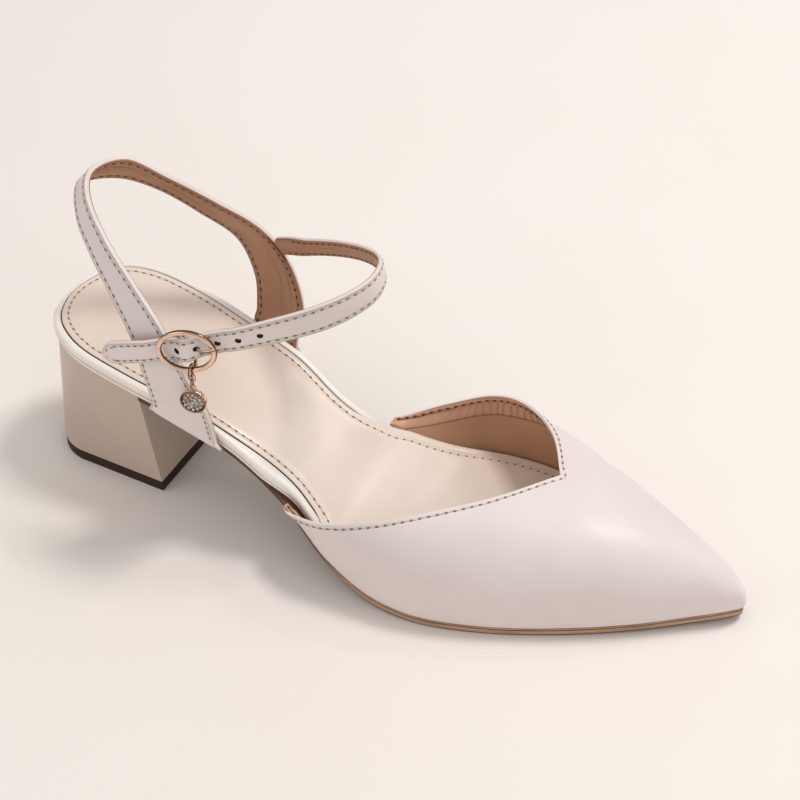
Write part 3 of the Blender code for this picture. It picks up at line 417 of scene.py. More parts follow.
@dataclass
class Shell:
    """A mesh that is being gathered, with a finish for each face and run lengths for each point."""

    points: list[np.ndarray] = field(default_factory=list)
    runs: list[np.ndarray] = field(default_factory=list)
    faces: list[list[int]] = field(default_factory=list)
    finishes: list[int] = field(default_factory=list)
    count: int = 0

    def take(self, points: np.ndarray, runs: np.ndarray | None = None) -> int:
        """Adds points.

        Args:
            points: the points, one a row.
            runs: up to three run lengths of each, such as along, across and from the edge, or None.

        Returns:
            The number of the first one.
        """
        first = self.count
        given = np.zeros((len(points), 0)) if runs is None else np.asarray(runs, float)
        self.points.append(np.asarray(points, float))
        self.runs.append(np.pad(given, ((0, 0), (0, 3 - given.shape[1]))))
        self.count += len(points)
        return first

    def face(self, corners: list[int], finish: int = 0) -> None:
        """Adds a face with its finish number."""
        self.faces.append(corners)
        self.finishes.append(finish)

    def loft(
        self,
        rings: np.ndarray,
        runs: np.ndarray | None = None,
        finishes: Sequence[int] = (),
        closed: bool = False,
    ) -> Shell:
        """Joins closed rings of points into a body.

        Args:
            rings: rows of points, each row a closed ring.
            runs: the run lengths of every point, or None.
            finishes: a finish for each column of faces, or nothing.
            closed: whether the last ring joins the first one, instead of ends that close the body.

        Returns:
            The shell, as from every method that adds a body.
        """
        rows, columns = rings.shape[:2]
        start = self.take(rings.reshape(-1, 3), None if runs is None else runs.reshape(rows * columns, -1))
        for row in range(rows if closed else rows - 1):
            low, high = start + row * columns, start + (row + 1) % rows * columns
            for column in range(columns):
                after = (column + 1) % columns
                finish = finishes[column] if len(finishes) else 0
                self.face([low + column, high + column, high + after, low + after], finish)
        if not closed:
            self.face([start + column for column in range(columns)])
            self.face([start + (rows - 1) * columns + column for column in reversed(range(columns))])
        return self

    def tube(self, line: np.ndarray, radius: Any, sides: int = 14, closed: bool = False) -> Shell:
        """A round wire along a line.

        Args:
            line: the points of its middle.
            radius: its radius, one for all or one for each point.
            sides: how many faces go round it.
            closed: whether its end joins its start.

        Returns:
            The shell.
        """
        radii = np.broadcast_to(radius, len(line))
        if closed:
            along = unit(np.roll(line, -1, axis=0) - np.roll(line, 1, axis=0))
        else:
            along = unit(np.gradient(line, axis=0))
        middle = line.mean(axis=0)
        spread = np.linalg.svd(line - middle)[2][2]
        spread = spread if abs(np.dot(spread, along[0])) < 0.9 else np.array([0.0, 0.0, 1.0])
        across = unit(np.cross(along, spread))
        up = unit(np.cross(across, along))
        turns = np.linspace(0, 2 * math.pi, sides, endpoint=False)
        cosines, sines = np.cos(turns), np.sin(turns)
        circle = cosines[None, :, None] * across[:, None] + sines[None, :, None] * up[:, None]
        round_it = np.stack([np.zeros(sides), cosines, sines], axis=1)
        rings = line[:, None] + circle * radii[:, None, None]
        return self.loft(rings, np.tile(round_it, (len(line), 1, 1)), closed=closed)

    def plate(
        self,
        levels: Sequence[tuple[np.ndarray, np.ndarray]],
        columns: int,
        cup: float = 0.0,
        bands: Sequence[int] = (),
    ) -> Shell:
        """A plate from levels of edge points, closed below and above by cross rows.

        Args:
            levels: for each level its outer and its inner side, from the back to the toe.
            columns: how many faces go across it.
            cup: how far the middle sinks where it is wide.
            bands: a finish for each strip between two levels, or nothing.

        Returns:
            The shell.
        """
        count = len(levels[0][0])
        bands = bands or [0] * (len(levels) - 1)
        sides = [np.vstack(level) for level in levels]
        starts = [self.take(both, both[:, :1]) for both in sides]
        for low, high, band in zip(starts, starts[1:], bands):
            inner_low, inner_high, last = low + count, high + count, count - 1
            for row in range(last):
                self.face([low + row, low + row + 1, high + row + 1, high + row], band)
                below, above = inner_low + row, inner_high + row
                self.face([above, above + 1, below + 1, below], band)
            self.face([inner_low, low, high, inner_high], band)
            self.face([inner_high + last, high + last, low + last, inner_low + last], band)
        for start, (outer, inner), turn in ((starts[0], levels[0], -1), (starts[-1], levels[-1], 1)):
            grid = [[start + row] for row in range(count)]
            for share in np.linspace(0, 1, columns + 1)[1:-1]:
                middle = outer + (inner - outer) * share
                wideness = np.minimum(1.0, np.linalg.norm(inner - outer, axis=1) / SEAT)
                middle[:, 2] -= cup * 4 * share * (1 - share) * wideness
                first = self.take(middle, np.column_stack([middle[:, 0], np.full(count, share)]))
                for row, line in enumerate(grid):
                    line.append(first + row)
            for row, line in enumerate(grid):
                line.append(start + count + row)
            for near, far in zip(grid, grid[1:]):
                for column in range(columns):
                    self.face([near[column], far[column], far[column + 1], near[column + 1]][::turn])
        return self

    def build(self, name: str, materials: Sequence[Material], sharp: float = 38.0) -> bpy.types.Object:
        """Makes the object.

        Args:
            name: its name.
            materials: its finishes, in the order of their numbers.
            sharp: edges turned by more degrees than this stay sharp.

        Returns:
            The object, at the origin, with its place in its mesh.
        """
        mesh = bpy.data.meshes.new(name)
        mesh.from_pydata((np.vstack(self.points) + ORIGIN).tolist(), [], self.faces)
        run = mesh.attributes.new(RUN, "FLOAT_VECTOR", "POINT")
        run.data.foreach_set("vector", np.vstack(self.runs).ravel())
        for material in materials:
            mesh.materials.append(material)
        mesh.polygons.foreach_set("material_index", self.finishes)
        shape = bmesh.new()
        shape.from_mesh(mesh)
        bmesh.ops.remove_doubles(shape, verts=shape.verts, dist=2e-6)
        bmesh.ops.dissolve_degenerate(shape, edges=shape.edges, dist=1e-6)
        bmesh.ops.recalc_face_normals(shape, faces=shape.faces)
        shape.to_mesh(mesh)
        shape.free()
        return dressed(name, mesh, sharp)


def dressed(name: str, mesh: bpy.types.Mesh, sharp: float = 38.0) -> bpy.types.Object:
    """An object in the scene for a finished mesh, shaded smooth but for its sharp edges.

    Args:
        name: its name.
        mesh: the mesh.
        sharp: edges turned by more degrees than this stay sharp.

    Returns:
        The object.
    """
    mesh.shade_smooth()
    mesh.set_sharp_from_angle(angle=math.radians(sharp))
    made = bpy.data.objects.new(name, mesh)
    bpy.context.scene.collection.objects.link(made)
    return made


def settled(piece: bpy.types.Object, sharp: float = 38.0) -> bpy.types.Object:
    """Turns an object with modifiers into a plain mesh object of the same name.

    Args:
        piece: the object, which goes.
        sharp: edges turned by more degrees than this stay sharp.

    Returns:
        The plain object.
    """
    graph = bpy.context.evaluated_depsgraph_get()
    mesh = bpy.data.meshes.new_from_object(piece.evaluated_get(graph))
    name = piece.name
    bpy.data.objects.remove(piece)
    mesh.name = name
    return dressed(name, mesh, sharp)


def rounded(piece: bpy.types.Object, width: float, segments: int = 3, angle: float = 50.0) -> None:
    """Adds a Bevel that rounds a piece's sharp edges.

    Args:
        piece: the object.
        width: how wide the round is.
        segments: how many faces lie across it.
        angle: edges turned by more degrees than this are rounded.
    """
    bevel = piece.modifiers.new("round", "BEVEL")
    bevel.width = width
    bevel.segments = segments
    bevel.limit_method = "ANGLE"
    bevel.angle_limit = math.radians(angle)
    bevel.harden_normals = False


def place(piece: bpy.types.Object, body: Body, slot: Slot, *nodes: str) -> bpy.types.Object:
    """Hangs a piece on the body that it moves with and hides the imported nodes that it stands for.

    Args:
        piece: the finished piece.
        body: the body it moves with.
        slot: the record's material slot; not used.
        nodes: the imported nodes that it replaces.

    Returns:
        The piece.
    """
    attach(piece, body.value)
    if nodes:
        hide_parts(*nodes)
    faces = len(piece.data.polygons)
    LOG.info("%s: %d faces, on %s, for %s", piece.name, faces, body.value, nodes or "detail")
    return piece


# Materials


def tone(red: int, green: int, blue: int) -> tuple[float, float, float]:
    """A linear colour from the three screen values of a paint chart, each above 10."""
    return tuple(((value / 255 + 0.055) / 1.055) ** 2.4 for value in (red, green, blue))


def shaded(colour: Colour, share: float) -> Colour:
    """A darker or lighter colour, at most full."""
    return tuple(min(1.0, part * share) for part in colour)


@dataclass(frozen=True)
class Value:
    """A number or vector that comes out of a shader node, usable in Python sums."""

    graph: Graph
    socket: bpy.types.NodeSocket

    def __add__(self, other: Term) -> Value:
        """This value and another, added."""
        return self.graph.math("ADD", self, other)

    def __sub__(self, other: Term) -> Value:
        """This value less another."""
        return self.graph.math("SUBTRACT", self, other)

    def __mul__(self, other: Term) -> Value:
        """This value times another."""
        return self.graph.math("MULTIPLY", self, other)


Term = Union[Value, float, int]
Colour = tuple[float, float, float]


def connect(tree: bpy.types.NodeTree, node: bpy.types.Node, sockets: dict[Any, Any]) -> bpy.types.Node:
    """Gives a node's inputs, by name or number, their links or values.

    Args:
        tree: the node's tree.
        node: the node.
        sockets: for each input a Value, a socket, a colour or a plain value.

    Returns:
        The node.
    """
    for key, given in sockets.items():
        source = given.socket if isinstance(given, Value) else given
        if isinstance(source, bpy.types.NodeSocket):
            tree.links.new(source, node.inputs[key])
        elif isinstance(source, tuple) and node.inputs[key].type == "RGBA":
            node.inputs[key].default_value = (*source, 1.0)
        else:
            node.inputs[key].default_value = source
    return node


def make_node(
    tree: bpy.types.NodeTree, kind: str, sockets: dict[Any, Any], settings: dict[str, Any]
) -> bpy.types.Node:
    """Makes a node.

    Args:
        tree: the tree that it goes in.
        kind: its type.
        sockets: what its inputs are given.
        settings: its own settings, set before them.

    Returns:
        The node.
    """
    made = tree.nodes.new(kind)
    for key, setting in settings.items():
        setattr(made, key, setting)
    return connect(tree, made, sockets)


class Graph:
    """The node tree of one material, with a method for each thing that the finishes need."""

    def __init__(self, name: str) -> None:
        """Starts a material with a plain shader.

        Args:
            name: its name.
        """
        self.material = bpy.data.materials.new(name)
        self.material.use_nodes = True
        self.tree = self.material.node_tree
        self.shader = self.tree.nodes["Principled BSDF"]

    def node(self, kind: str, sockets: dict[Any, Any], out: Any = 0, **settings: Any) -> Value:
        """One output, by name or number, of a new node with these inputs and settings."""
        return Value(self, make_node(self.tree, kind, sockets, settings).outputs[out])

    def math(self, operation: str, *terms: Term) -> Value:
        """A Math node on the terms."""
        return self.node("ShaderNodeMath", dict(enumerate(terms)), operation=operation)

    def place(self) -> Value:
        """Object coordinates, in metres."""
        return self.node("ShaderNodeTexCoord", {}, "Object")

    def run(self) -> tuple[Value, Value, Value]:
        """The piece's own run lengths: along it, across it and from its nearest edge."""
        vector = self.node("ShaderNodeAttribute", {}, "Vector", attribute_name=RUN)
        return self.parts(vector)

    def parts(self, vector: Value) -> tuple[Value, Value, Value]:
        """The three parts of a vector."""
        return self.part(vector, "X"), self.part(vector, "Y"), self.part(vector, "Z")

    def part(self, vector: Value, axis: str) -> Value:
        """One part of a vector."""
        return self.node("ShaderNodeSeparateXYZ", {0: vector}, axis)

    def joined(self, x: Term, y: Term, z: Term = 0.0) -> Value:
        """A vector from three numbers."""
        return self.node("ShaderNodeCombineXYZ", {0: x, 1: y, 2: z})

    def noise(self, coords: Value, scale: float, detail: float = 2.0, roughness: float = 0.5) -> Value:
        """Soft noise between 0 and 1."""
        sockets = {"Vector": coords, "Scale": scale, "Detail": detail, "Roughness": roughness}
        return self.node("ShaderNodeTexNoise", sockets)

    def cells(self, coords: Value, scale: float) -> Value:
        """The distance to the nearest of many scattered points: pebbled grain."""
        sockets = {"Vector": coords, "Scale": scale, "Smoothness": 0.6}
        return self.node("ShaderNodeTexVoronoi", sockets, feature="SMOOTH_F1")

    def step(self, value: Term, low: float, high: float) -> Value:
        """0 below low, 1 above high and smooth between. With high below low it falls instead.

        Args:
            value: the value.
            low: where it is 0.
            high: where it is 1.

        Returns:
            The share.
        """
        limits = (low, high, 0.0, 1.0) if low < high else (high, low, 1.0, 0.0)
        sockets = dict(enumerate((value, *limits)))
        return self.node("ShaderNodeMapRange", sockets, interpolation_type="SMOOTHSTEP", clamp=True)

    def bump_at(self, value: Term, middle: float, half: float) -> Value:
        """1 at the middle, falling to 0 at half on both sides."""
        away = self.math("ABSOLUTE", self.math("SUBTRACT", value, middle))
        return self.step(away, half, 0.0)

    def blend(self, share: Term, first: Any, second: Any) -> Value:
        """A colour between two colours."""
        return self.node("ShaderNodeMix", {0: share, 6: first, 7: second}, 2, data_type="RGBA")

    def relief(self, height: Value, depth: float) -> Value:
        """The normal of a surface raised by height times depth, in metres."""
        return self.node("ShaderNodeBump", {"Strength": 1.0, "Distance": depth, "Height": height})

    def finish(self, colour: Value, rough: Value, normal: Value, **values: float) -> Material:
        """Sets the shader.

        Args:
            colour: the surface's colour.
            rough: its roughness.
            normal: its relief.
            values: further inputs by name, with a low line for each space.

        Returns:
            The finished material.
        """
        named = {key.replace("_", " "): value for key, value in values.items()}
        connect(self.tree, self.shader, {"Base Color": colour, "Roughness": rough, "Normal": normal, **named})
        return self.material


@dataclass(frozen=True)
class Leather:
    """Smooth dressed leather: a fine grain, faint clouds of colour and a soft gloss, with painted shade along
    creases, in a pressed line and in pleats where asked for.
    """

    name: str
    colour: Colour
    shade: Colour
    gloss: tuple[float, float] = (0.36, 0.48)
    coat: float = 0.12
    grain: float = 0.05
    creases: float = 0.0
    pressed_line: float = 0.0
    facing: bool = False

    def material(self) -> Material:
        """Makes the material.

        Returns:
            The material.
        """
        graph = Graph(self.name)
        place = graph.place()
        clouds = graph.noise(place, 38.0, 3.0)
        pebbles = graph.cells(place, 1150.0)
        pores = graph.noise(place, 2600.0, 2.0)
        colour = graph.blend(graph.step(clouds, 0.32, 0.70) * 0.55 + pebbles * 0.12, self.colour, self.shade)
        height = pebbles * self.grain + pores * (self.grain * 0.5) + clouds * 0.25
        if self.creases:
            along, across, _ = graph.run()
            lines = graph.noise(graph.joined(along * 14.0, across * 480.0), 1.0, 3.0, 0.6)
            # painted shade: the crease lines are darkened
            colour = graph.blend(graph.step(lines, 0.52, 0.70) * 0.55, colour, shaded(self.shade, 0.6))
            height = height + lines * self.creases
        if self.pressed_line:
            # painted shade: the pressed line's sunk groove is darkened
            line = graph.bump_at(graph.run()[2], self.pressed_line, 0.0004)
            colour = graph.blend(line * 0.55, colour, shaded(self.shade, 0.42))
            height = height - line * 0.6
        if self.facing:
            colour, height = self.with_facing(graph, colour, height)
        low, high = self.gloss
        rough = graph.step(graph.noise(place, 90.0, 4.0), 0.3, 0.7) * (high - low) + low
        extra = {"Coat_Weight": self.coat, "Coat_Roughness": 0.22, "Specular_IOR_Level": 0.45}
        return graph.finish(colour, rough, graph.relief(height, 0.00022), **extra)

    def with_facing(self, graph: Graph, colour: Value, height: Value) -> tuple[Value, Value]:
        """Adds the sewn-in strip along the top edge, with its darker sunk seam line and small pleats darkened
        by painted shade.

        Args:
            graph: the material's tree.
            colour: the colour so far.
            height: the relief so far.

        Returns:
            Both, with the strip in them.
        """
        along, down, _ = graph.run()
        seam = graph.bump_at(down, 0.0072, 0.0007)
        strip = graph.step(down, 0.0074, 0.0068)
        pleat = graph.math("SINE", along * 2400.0 + graph.noise(graph.place(), 160.0) * 9.0)
        near_point = graph.bump_at(along, 0.160, 0.045)
        pleats = graph.step(pleat, -0.2, 0.9) * strip * graph.step(down, 0.0012, 0.003) * near_point
        paler = graph.blend(strip * 0.4, colour, shaded(self.colour, 1.25))
        # painted shade in the pleats, with the darker seam line
        darker = graph.blend(seam * 0.6 + pleats * 0.45, paler, shaded(self.shade, 0.45))
        return darker, height - seam * 0.7 + pleats * 0.5


@dataclass(frozen=True)
class SoleEdge:
    """Brown sole and lift: a paler polished side that turns to the dark bottom colour behind the ball as
    painted shade under the arch, and a dark bottom with a fine generic tread.
    """

    name: str
    side: Colour
    bottom: Colour
    lines: float = 0.0
    roughness: float = 0.40

    def material(self) -> Material:
        """Makes the material.

        Returns:
            The material.
        """
        graph = Graph(self.name)
        place = graph.place()
        normal = graph.node("ShaderNodeNewGeometry", {}, "Normal")
        under = graph.step(graph.part(normal, "Z"), -0.5, -0.9)
        speck = graph.noise(place, 700.0, 3.0)
        x, y, z = graph.parts(place)
        streak = graph.noise(graph.joined(x * 60.0, y * 60.0, z * 2500.0), 1.0)
        side = graph.blend(graph.step(streak, 0.4, 0.7) * 0.4, self.side, self.bottom)
        # painted shade: the side darkens toward the back, under the arch and on the heel lift
        side = graph.blend(graph.step(x, 0.010, -0.018) * 0.9, side, self.bottom)
        colour = graph.blend(under, side, self.bottom)
        tread = graph.math("SINE", (x + y) * 2100.0) * graph.math("SINE", (x - y) * 2100.0)
        height = speck * 0.1 + graph.step(tread, 0.0, 0.4) * under * self.lines
        rough = speck * 0.15 + self.roughness + under * 0.15
        return graph.finish(colour, rough, graph.relief(height, 0.0003), Specular_IOR_Level=0.35)


@dataclass(frozen=True)
class Metal:
    """Polished plated metal, darkened with painted dark reflection and shade along the sides of its wires and
    over the charm's face.
    """

    name: str = "rose_gold_polish"
    colour: Colour = tone(238, 204, 182)
    worn: Colour = tone(214, 170, 142)
    painted_dark_reflection: Colour = tone(84, 56, 40)
    roughness: float = 0.10

    def material(self) -> Material:
        """Makes the material.

        Returns:
            The material.
        """
        graph = Graph(self.name)
        wear = graph.noise(graph.place(), 420.0, 4.0, 0.6)
        colour = graph.blend(graph.step(wear, 0.45, 0.75) * 0.6, self.colour, self.worn)
        crest = graph.math("ABSOLUTE", graph.run()[2])
        # painted dark reflection and shade: darkest where the surface turns away from the wire's crest
        painted_reflection_mask = graph.step(crest + wear * 0.2, 0.92, 0.45)
        colour = graph.blend(painted_reflection_mask * 0.9, colour, self.painted_dark_reflection)
        rough = graph.step(wear, 0.4, 0.8) * 0.08 + painted_reflection_mask * 0.12 + self.roughness
        return graph.finish(colour, rough, graph.relief(wear, 0.00002), Metallic=1.0)


@dataclass(frozen=True)
class Plain:
    """A finish with one colour broken up by noise: thread, the crystal with its painted reflections, the
    floor, and the dark painted shade of needle holes, hole walls and grooves.
    """

    name: str
    colour: Colour
    shade: Colour
    roughness: float = 0.6
    scale: float = 900.0
    depth: float = 0.00004
    coat: float = 0.0

    def material(self) -> Material:
        """Makes the material.

        Returns:
            The material.
        """
        graph = Graph(self.name)
        spots = graph.noise(graph.place(), self.scale, 3.0)
        colour = graph.blend(graph.step(spots, 0.3, 0.7), self.colour, self.shade)
        rough, relief = spots * 0.1 + self.roughness, graph.relief(spots, self.depth)
        return graph.finish(colour, rough, relief, Coat_Weight=self.coat, Coat_Roughness=0.05)


@dataclass(frozen=True)
class Finishes:
    """Every material of the shoe."""

    upper: Material
    strap: Material
    rim: Material
    sock: Material
    heel: Material
    lining: Material
    facing: Material
    side: Material
    # painted shade for grooves and gaps, and for the sole's bottom edge
    groove: Material
    lift: Material
    metal: Material
    thread: Material
    tan_thread: Material
    needle_hole_painted_shade: Material
    lining_hole_painted_shade: Material
    # painted shade for the punched holes' walls and the slit
    dark: Material
    crystal: Material

    @classmethod
    def make(cls) -> Finishes:
        """Makes them all.

        Returns:
            The finishes.
        """
        cream = tone(232, 221, 219), tone(224, 210, 206), (0.44, 0.54), 0.06
        vamp_tan = tone(200, 154, 122), tone(172, 124, 94), (0.46, 0.58), 0.03, 0.06
        sling_tan = tone(182, 138, 109), tone(156, 112, 86), (0.46, 0.58), 0.03, 0.06
        pale_rim = tone(246, 239, 233), tone(238, 228, 220), (0.28, 0.40), 0.3
        pale_sock = tone(234, 217, 204), tone(226, 205, 188), (0.32, 0.42), 0.35, 0.03
        beige = tone(198, 178, 163), tone(187, 166, 151), (0.36, 0.46), 0.10
        line, dull, fine = 0.0006, 0.7, 2400.0
        recipes = {
            "upper": Leather("upper_leather_cream", *cream),
            "strap": Leather("strap_leather_cream", *cream, pressed_line=line),
            "rim": Leather("rim_leather_cream", *pale_rim),
            "sock": Leather("sock_leather_cream", *pale_sock),
            "heel": Leather("heel_leather_beige", *beige),
            "lining": Leather("lining_leather_tan", *sling_tan, creases=0.9, pressed_line=line),
            "facing": Leather("vamp_lining_tan", *vamp_tan, facing=True),
            "side": SoleEdge("sole_edge_brown", tone(194, 156, 129), tone(88, 56, 40), 0.9),
            # dark brown painted shade, laid in grooves and gaps and on the sole's bottom edge
            "groove": Plain("painted_groove_shade_brown", tone(82, 56, 42), tone(58, 38, 28), 0.6),
            "lift": SoleEdge("heel_lift_brown", tone(74, 38, 18), tone(50, 26, 12), 0.5, 0.62),
            "metal": Metal(),
            "thread": Plain("stitch_thread_cream", tone(222, 208, 198), tone(200, 184, 172), dull, fine),
            "tan_thread": Plain("stitch_thread_tan", tone(176, 134, 104), tone(150, 110, 84), dull, fine),
            "needle_hole_painted_shade": Plain("needle_hole_shade", tone(150, 128, 117), tone(130, 108, 97), 0.9, fine),
            "lining_hole_painted_shade": Plain("lining_needle_hole_shade", tone(104, 72, 54), tone(86, 58, 42), 0.9, fine),
            # dark painted shade for the punched holes' walls and the slit
            "dark": Plain("punched_hole_painted_shade", tone(84, 58, 44), tone(50, 34, 26), 0.8),
            # the clear crystal's dark spots are painted reflections of its facets
            "crystal": Plain(
                "clear_crystal", tone(240, 236, 232), tone(112, 100, 92), 0.04, 1500.0, depth=0.0, coat=1.0
            ),
        }
        return cls(**{word: recipe.material() for word, recipe in recipes.items()})


# Things that repeat, made with Geometry Nodes


class NodeTree:
    """A Geometry Nodes tree that is built here, with named inputs."""

    def __init__(self, name: str, inputs: dict[str, float]) -> None:
        """Starts the tree.

        Args:
            name: the tree's name.
            inputs: the starting value of each number, besides the geometry and the material.
        """
        self.tree = bpy.data.node_groups.new(name, "GeometryNodeTree")
        face = self.tree.interface
        face.new_socket("Geometry", in_out="INPUT", socket_type="NodeSocketGeometry")
        for key, value in inputs.items():
            kind = "NodeSocketInt" if isinstance(value, int) else "NodeSocketFloat"
            face.new_socket(key, in_out="INPUT", socket_type=kind).default_value = value
        face.new_socket("Material", in_out="INPUT", socket_type="NodeSocketMaterial")
        face.new_socket("Geometry", in_out="OUTPUT", socket_type="NodeSocketGeometry")
        self.start = self.tree.nodes.new("NodeGroupInput").outputs

    def node(self, kind: str, sockets: dict[Any, Any], out: Any = 0, **settings: Any) -> bpy.types.NodeSocket:
        """One output, by name or number, of a new node with these inputs and settings."""
        return make_node(self.tree, kind, sockets, settings).outputs[out]

    def facing(self) -> bpy.types.NodeSocket:
        """The way that the surface faces, kept on the base's points."""
        return self.node("GeometryNodeInputNamedAttribute", {"Name": FACING}, data_type="FLOAT_VECTOR")

    def repeat(self, **copied: bpy.types.NodeSocket) -> None:
        """Ends the tree: copies at each pitch of the base's lines, as real smooth meshes of one material.

        Args:
            copied: what the copying node takes besides the points, by name.
        """
        start = self.start
        curve = self.node("GeometryNodeMeshToCurve", {"Mesh": start["Geometry"]})
        steps = {"Curve": curve, "Length": start["Pitch"]}
        even = self.node("GeometryNodeResampleCurve", steps, mode="LENGTH")
        copies = self.node("GeometryNodeInstanceOnPoints", {"Points": even, **copied})
        real = self.node("GeometryNodeRealizeInstances", {"Geometry": copies})
        soft = self.node("GeometryNodeSetShadeSmooth", {"Geometry": real})
        painted = self.node("GeometryNodeSetMaterial", {"Geometry": soft, "Material": start["Material"]})
        make_node(self.tree, "NodeGroupOutput", {"Geometry": painted}, {})

    def apply(self, name: str, base: bpy.types.Mesh, values: dict[str, Any]) -> bpy.types.Object:
        """Runs the tree on a mesh.

        Args:
            name: the finished piece's name.
            base: the mesh that it starts from.
            values: the value of each named input.

        Returns:
            The piece as a plain mesh object.
        """
        carrier = bpy.data.objects.new(name, base)
        bpy.context.scene.collection.objects.link(carrier)
        modifier = carrier.modifiers.new("make", "NODES")
        modifier.node_group = self.tree
        for item in self.tree.interface.items_tree:
            if item.in_out == "INPUT" and item.name in values:
                modifier[item.identifier] = values[item.name]
        return settled(carrier, 60.0)


@dataclass
class Line:
    """A line on a surface, with the way that the surface faces along it."""

    points: np.ndarray
    facing: np.ndarray
    closed: bool = False

    def lifted(self, height: float) -> Line:
        """The same line, moved off the surface."""
        return Line(self.points + self.facing * height, self.facing, self.closed)


def lines_mesh(name: str, lines: Sequence[Line]) -> bpy.types.Mesh:
    """One mesh of edges for several lines, which keeps the way the surface faces.

    Args:
        name: the mesh's name.
        lines: the lines.

    Returns:
        The mesh.
    """
    edges: list[tuple[int, int]] = []
    first = 0
    for line in lines:
        count = len(line.points)
        edges += [(first + number, first + number + 1) for number in range(count - 1)]
        if line.closed:
            edges.append((first + count - 1, first))
        first += count
    mesh = bpy.data.meshes.new(name)
    mesh.from_pydata((np.vstack([line.points for line in lines]) + ORIGIN).tolist(), edges, [])
    facing = mesh.attributes.new(FACING, "FLOAT_VECTOR", "POINT")
    facing.data.foreach_set("vector", np.vstack([line.facing for line in lines]).ravel())
    return mesh


class Stitching:
    """Rows of lockstitches: a short raised thread between needle holes drawn as dark beads of painted shade.
    """

    pitch: float = 0.0028
    seed: int = 7
    slant: float = 0.10

    def __init__(self, finishes: Finishes) -> None:
        """Builds the tree.

        Args:
            finishes: the shoe's materials.
        """
        self.finishes = finishes
        lengths = {"Pitch": 0.0028, "Stitch Length": 0.0018, "Thread Width": 0.0006, "Thread Height": 0.0004}
        self.tree = tree = NodeTree("stitch_rows", {**lengths, "Shift": 0.0, "Seed": 7})
        start = tree.start
        bead = tree.node("GeometryNodeMeshUVSphere", {"Segments": 10, "Rings": 6, "Radius": 0.5})
        sides = {0: start["Stitch Length"], 1: start["Thread Width"], 2: start["Thread Height"]}
        size = tree.node("ShaderNodeCombineXYZ", sides)
        shift = tree.node("ShaderNodeCombineXYZ", {0: start["Shift"]})
        shaped = tree.node("GeometryNodeTransform", {"Geometry": bead, "Scale": size, "Translation": shift})
        tangent = tree.node("GeometryNodeInputTangent", {})
        along = tree.node("FunctionNodeAlignRotationToVector", {"Vector": tangent}, axis="X")
        upright = {"Rotation": along, "Vector": tree.facing()}
        turned = tree.node("FunctionNodeAlignRotationToVector", upright, axis="Z", pivot_axis="X")
        limits = {2: -self.slant, 3: self.slant, "Seed": start["Seed"]}
        slant = tree.node("FunctionNodeRandomValue", limits, 1, data_type="FLOAT")
        twist = {"Rotation": turned, "Rotate By": tree.node("ShaderNodeCombineXYZ", {2: slant})}
        swung = tree.node("FunctionNodeRotateRotation", twist, rotation_space="LOCAL")
        tree.repeat(Instance=shaped, Rotation=swung)

    def sew(self, name: str, lines: Sequence[Line], lining: bool = False) -> None:
        """Sews rows along lines: the needle holes as dark beads of painted shade, and half a stitch on the
        threads between them.

        Args:
            name: the pieces' name.
            lines: where the rows run.
            lining: whether they are on the tan lining.
        """
        made = self.finishes
        hole, thread = (made.lining_hole_painted_shade, made.tan_thread) if lining else (made.needle_hole_painted_shade, made.thread)
        for word, sizes, shift, material in (
            ("needle_hole_shades", (0.0014, 0.0008, 0.00044), 0.0, hole),
            ("threads", (0.0017, 0.0005, 0.00040), self.pitch / 2, thread),
        ):
            values = dict(zip(("Stitch Length", "Thread Width", "Thread Height"), sizes))
            values |= {"Pitch": self.pitch, "Shift": shift, "Seed": self.seed, "Material": material}
            place(self.tree.apply(f"{name}_{word}", lines_mesh(name, lines), values), Body.SHOE, Slot.UPPER)


class Beading:
    """Small round or cut beads set on the points of lines: pave stones and beaded borders."""

    def __init__(self) -> None:
        """Builds the tree."""
        self.tree = tree = NodeTree("bead_rows", {"Pitch": 0.0010, "Bead Size": 0.0008, "Facets": 8})
        start = tree.start
        bead = tree.node("GeometryNodeMeshUVSphere", {"Segments": start["Facets"], "Rings": 6, "Radius": 0.5})
        turned = tree.node("FunctionNodeAlignRotationToVector", {"Vector": tree.facing()}, axis="Z")
        size = tree.node("ShaderNodeCombineXYZ", dict.fromkeys(range(3), start["Bead Size"]))
        tree.repeat(Instance=bead, Rotation=turned, Scale=size)

    def string(
        self, name: str, lines: Sequence[Line], material: Material, pitch: float, size: float, facets: int
    ) -> bpy.types.Object:
        """Sets beads along lines.

        Args:
            name: the piece's name.
            lines: where the beads sit.
            material: their finish.
            pitch: from one bead to the next.
            size: a bead's diameter.
            facets: how many faces go round a bead.

        Returns:
            The piece.
        """
        values = {"Pitch": pitch, "Bead Size": size, "Facets": facets, "Material": material}
        return self.tree.apply(name, lines_mesh(name, lines), values)


# The sole and the heel


def heights_at(points: np.ndarray, z: Any) -> np.ndarray:
    """Flat points with a height."""
    return np.column_stack([points, np.broadcast_to(z, len(points))])


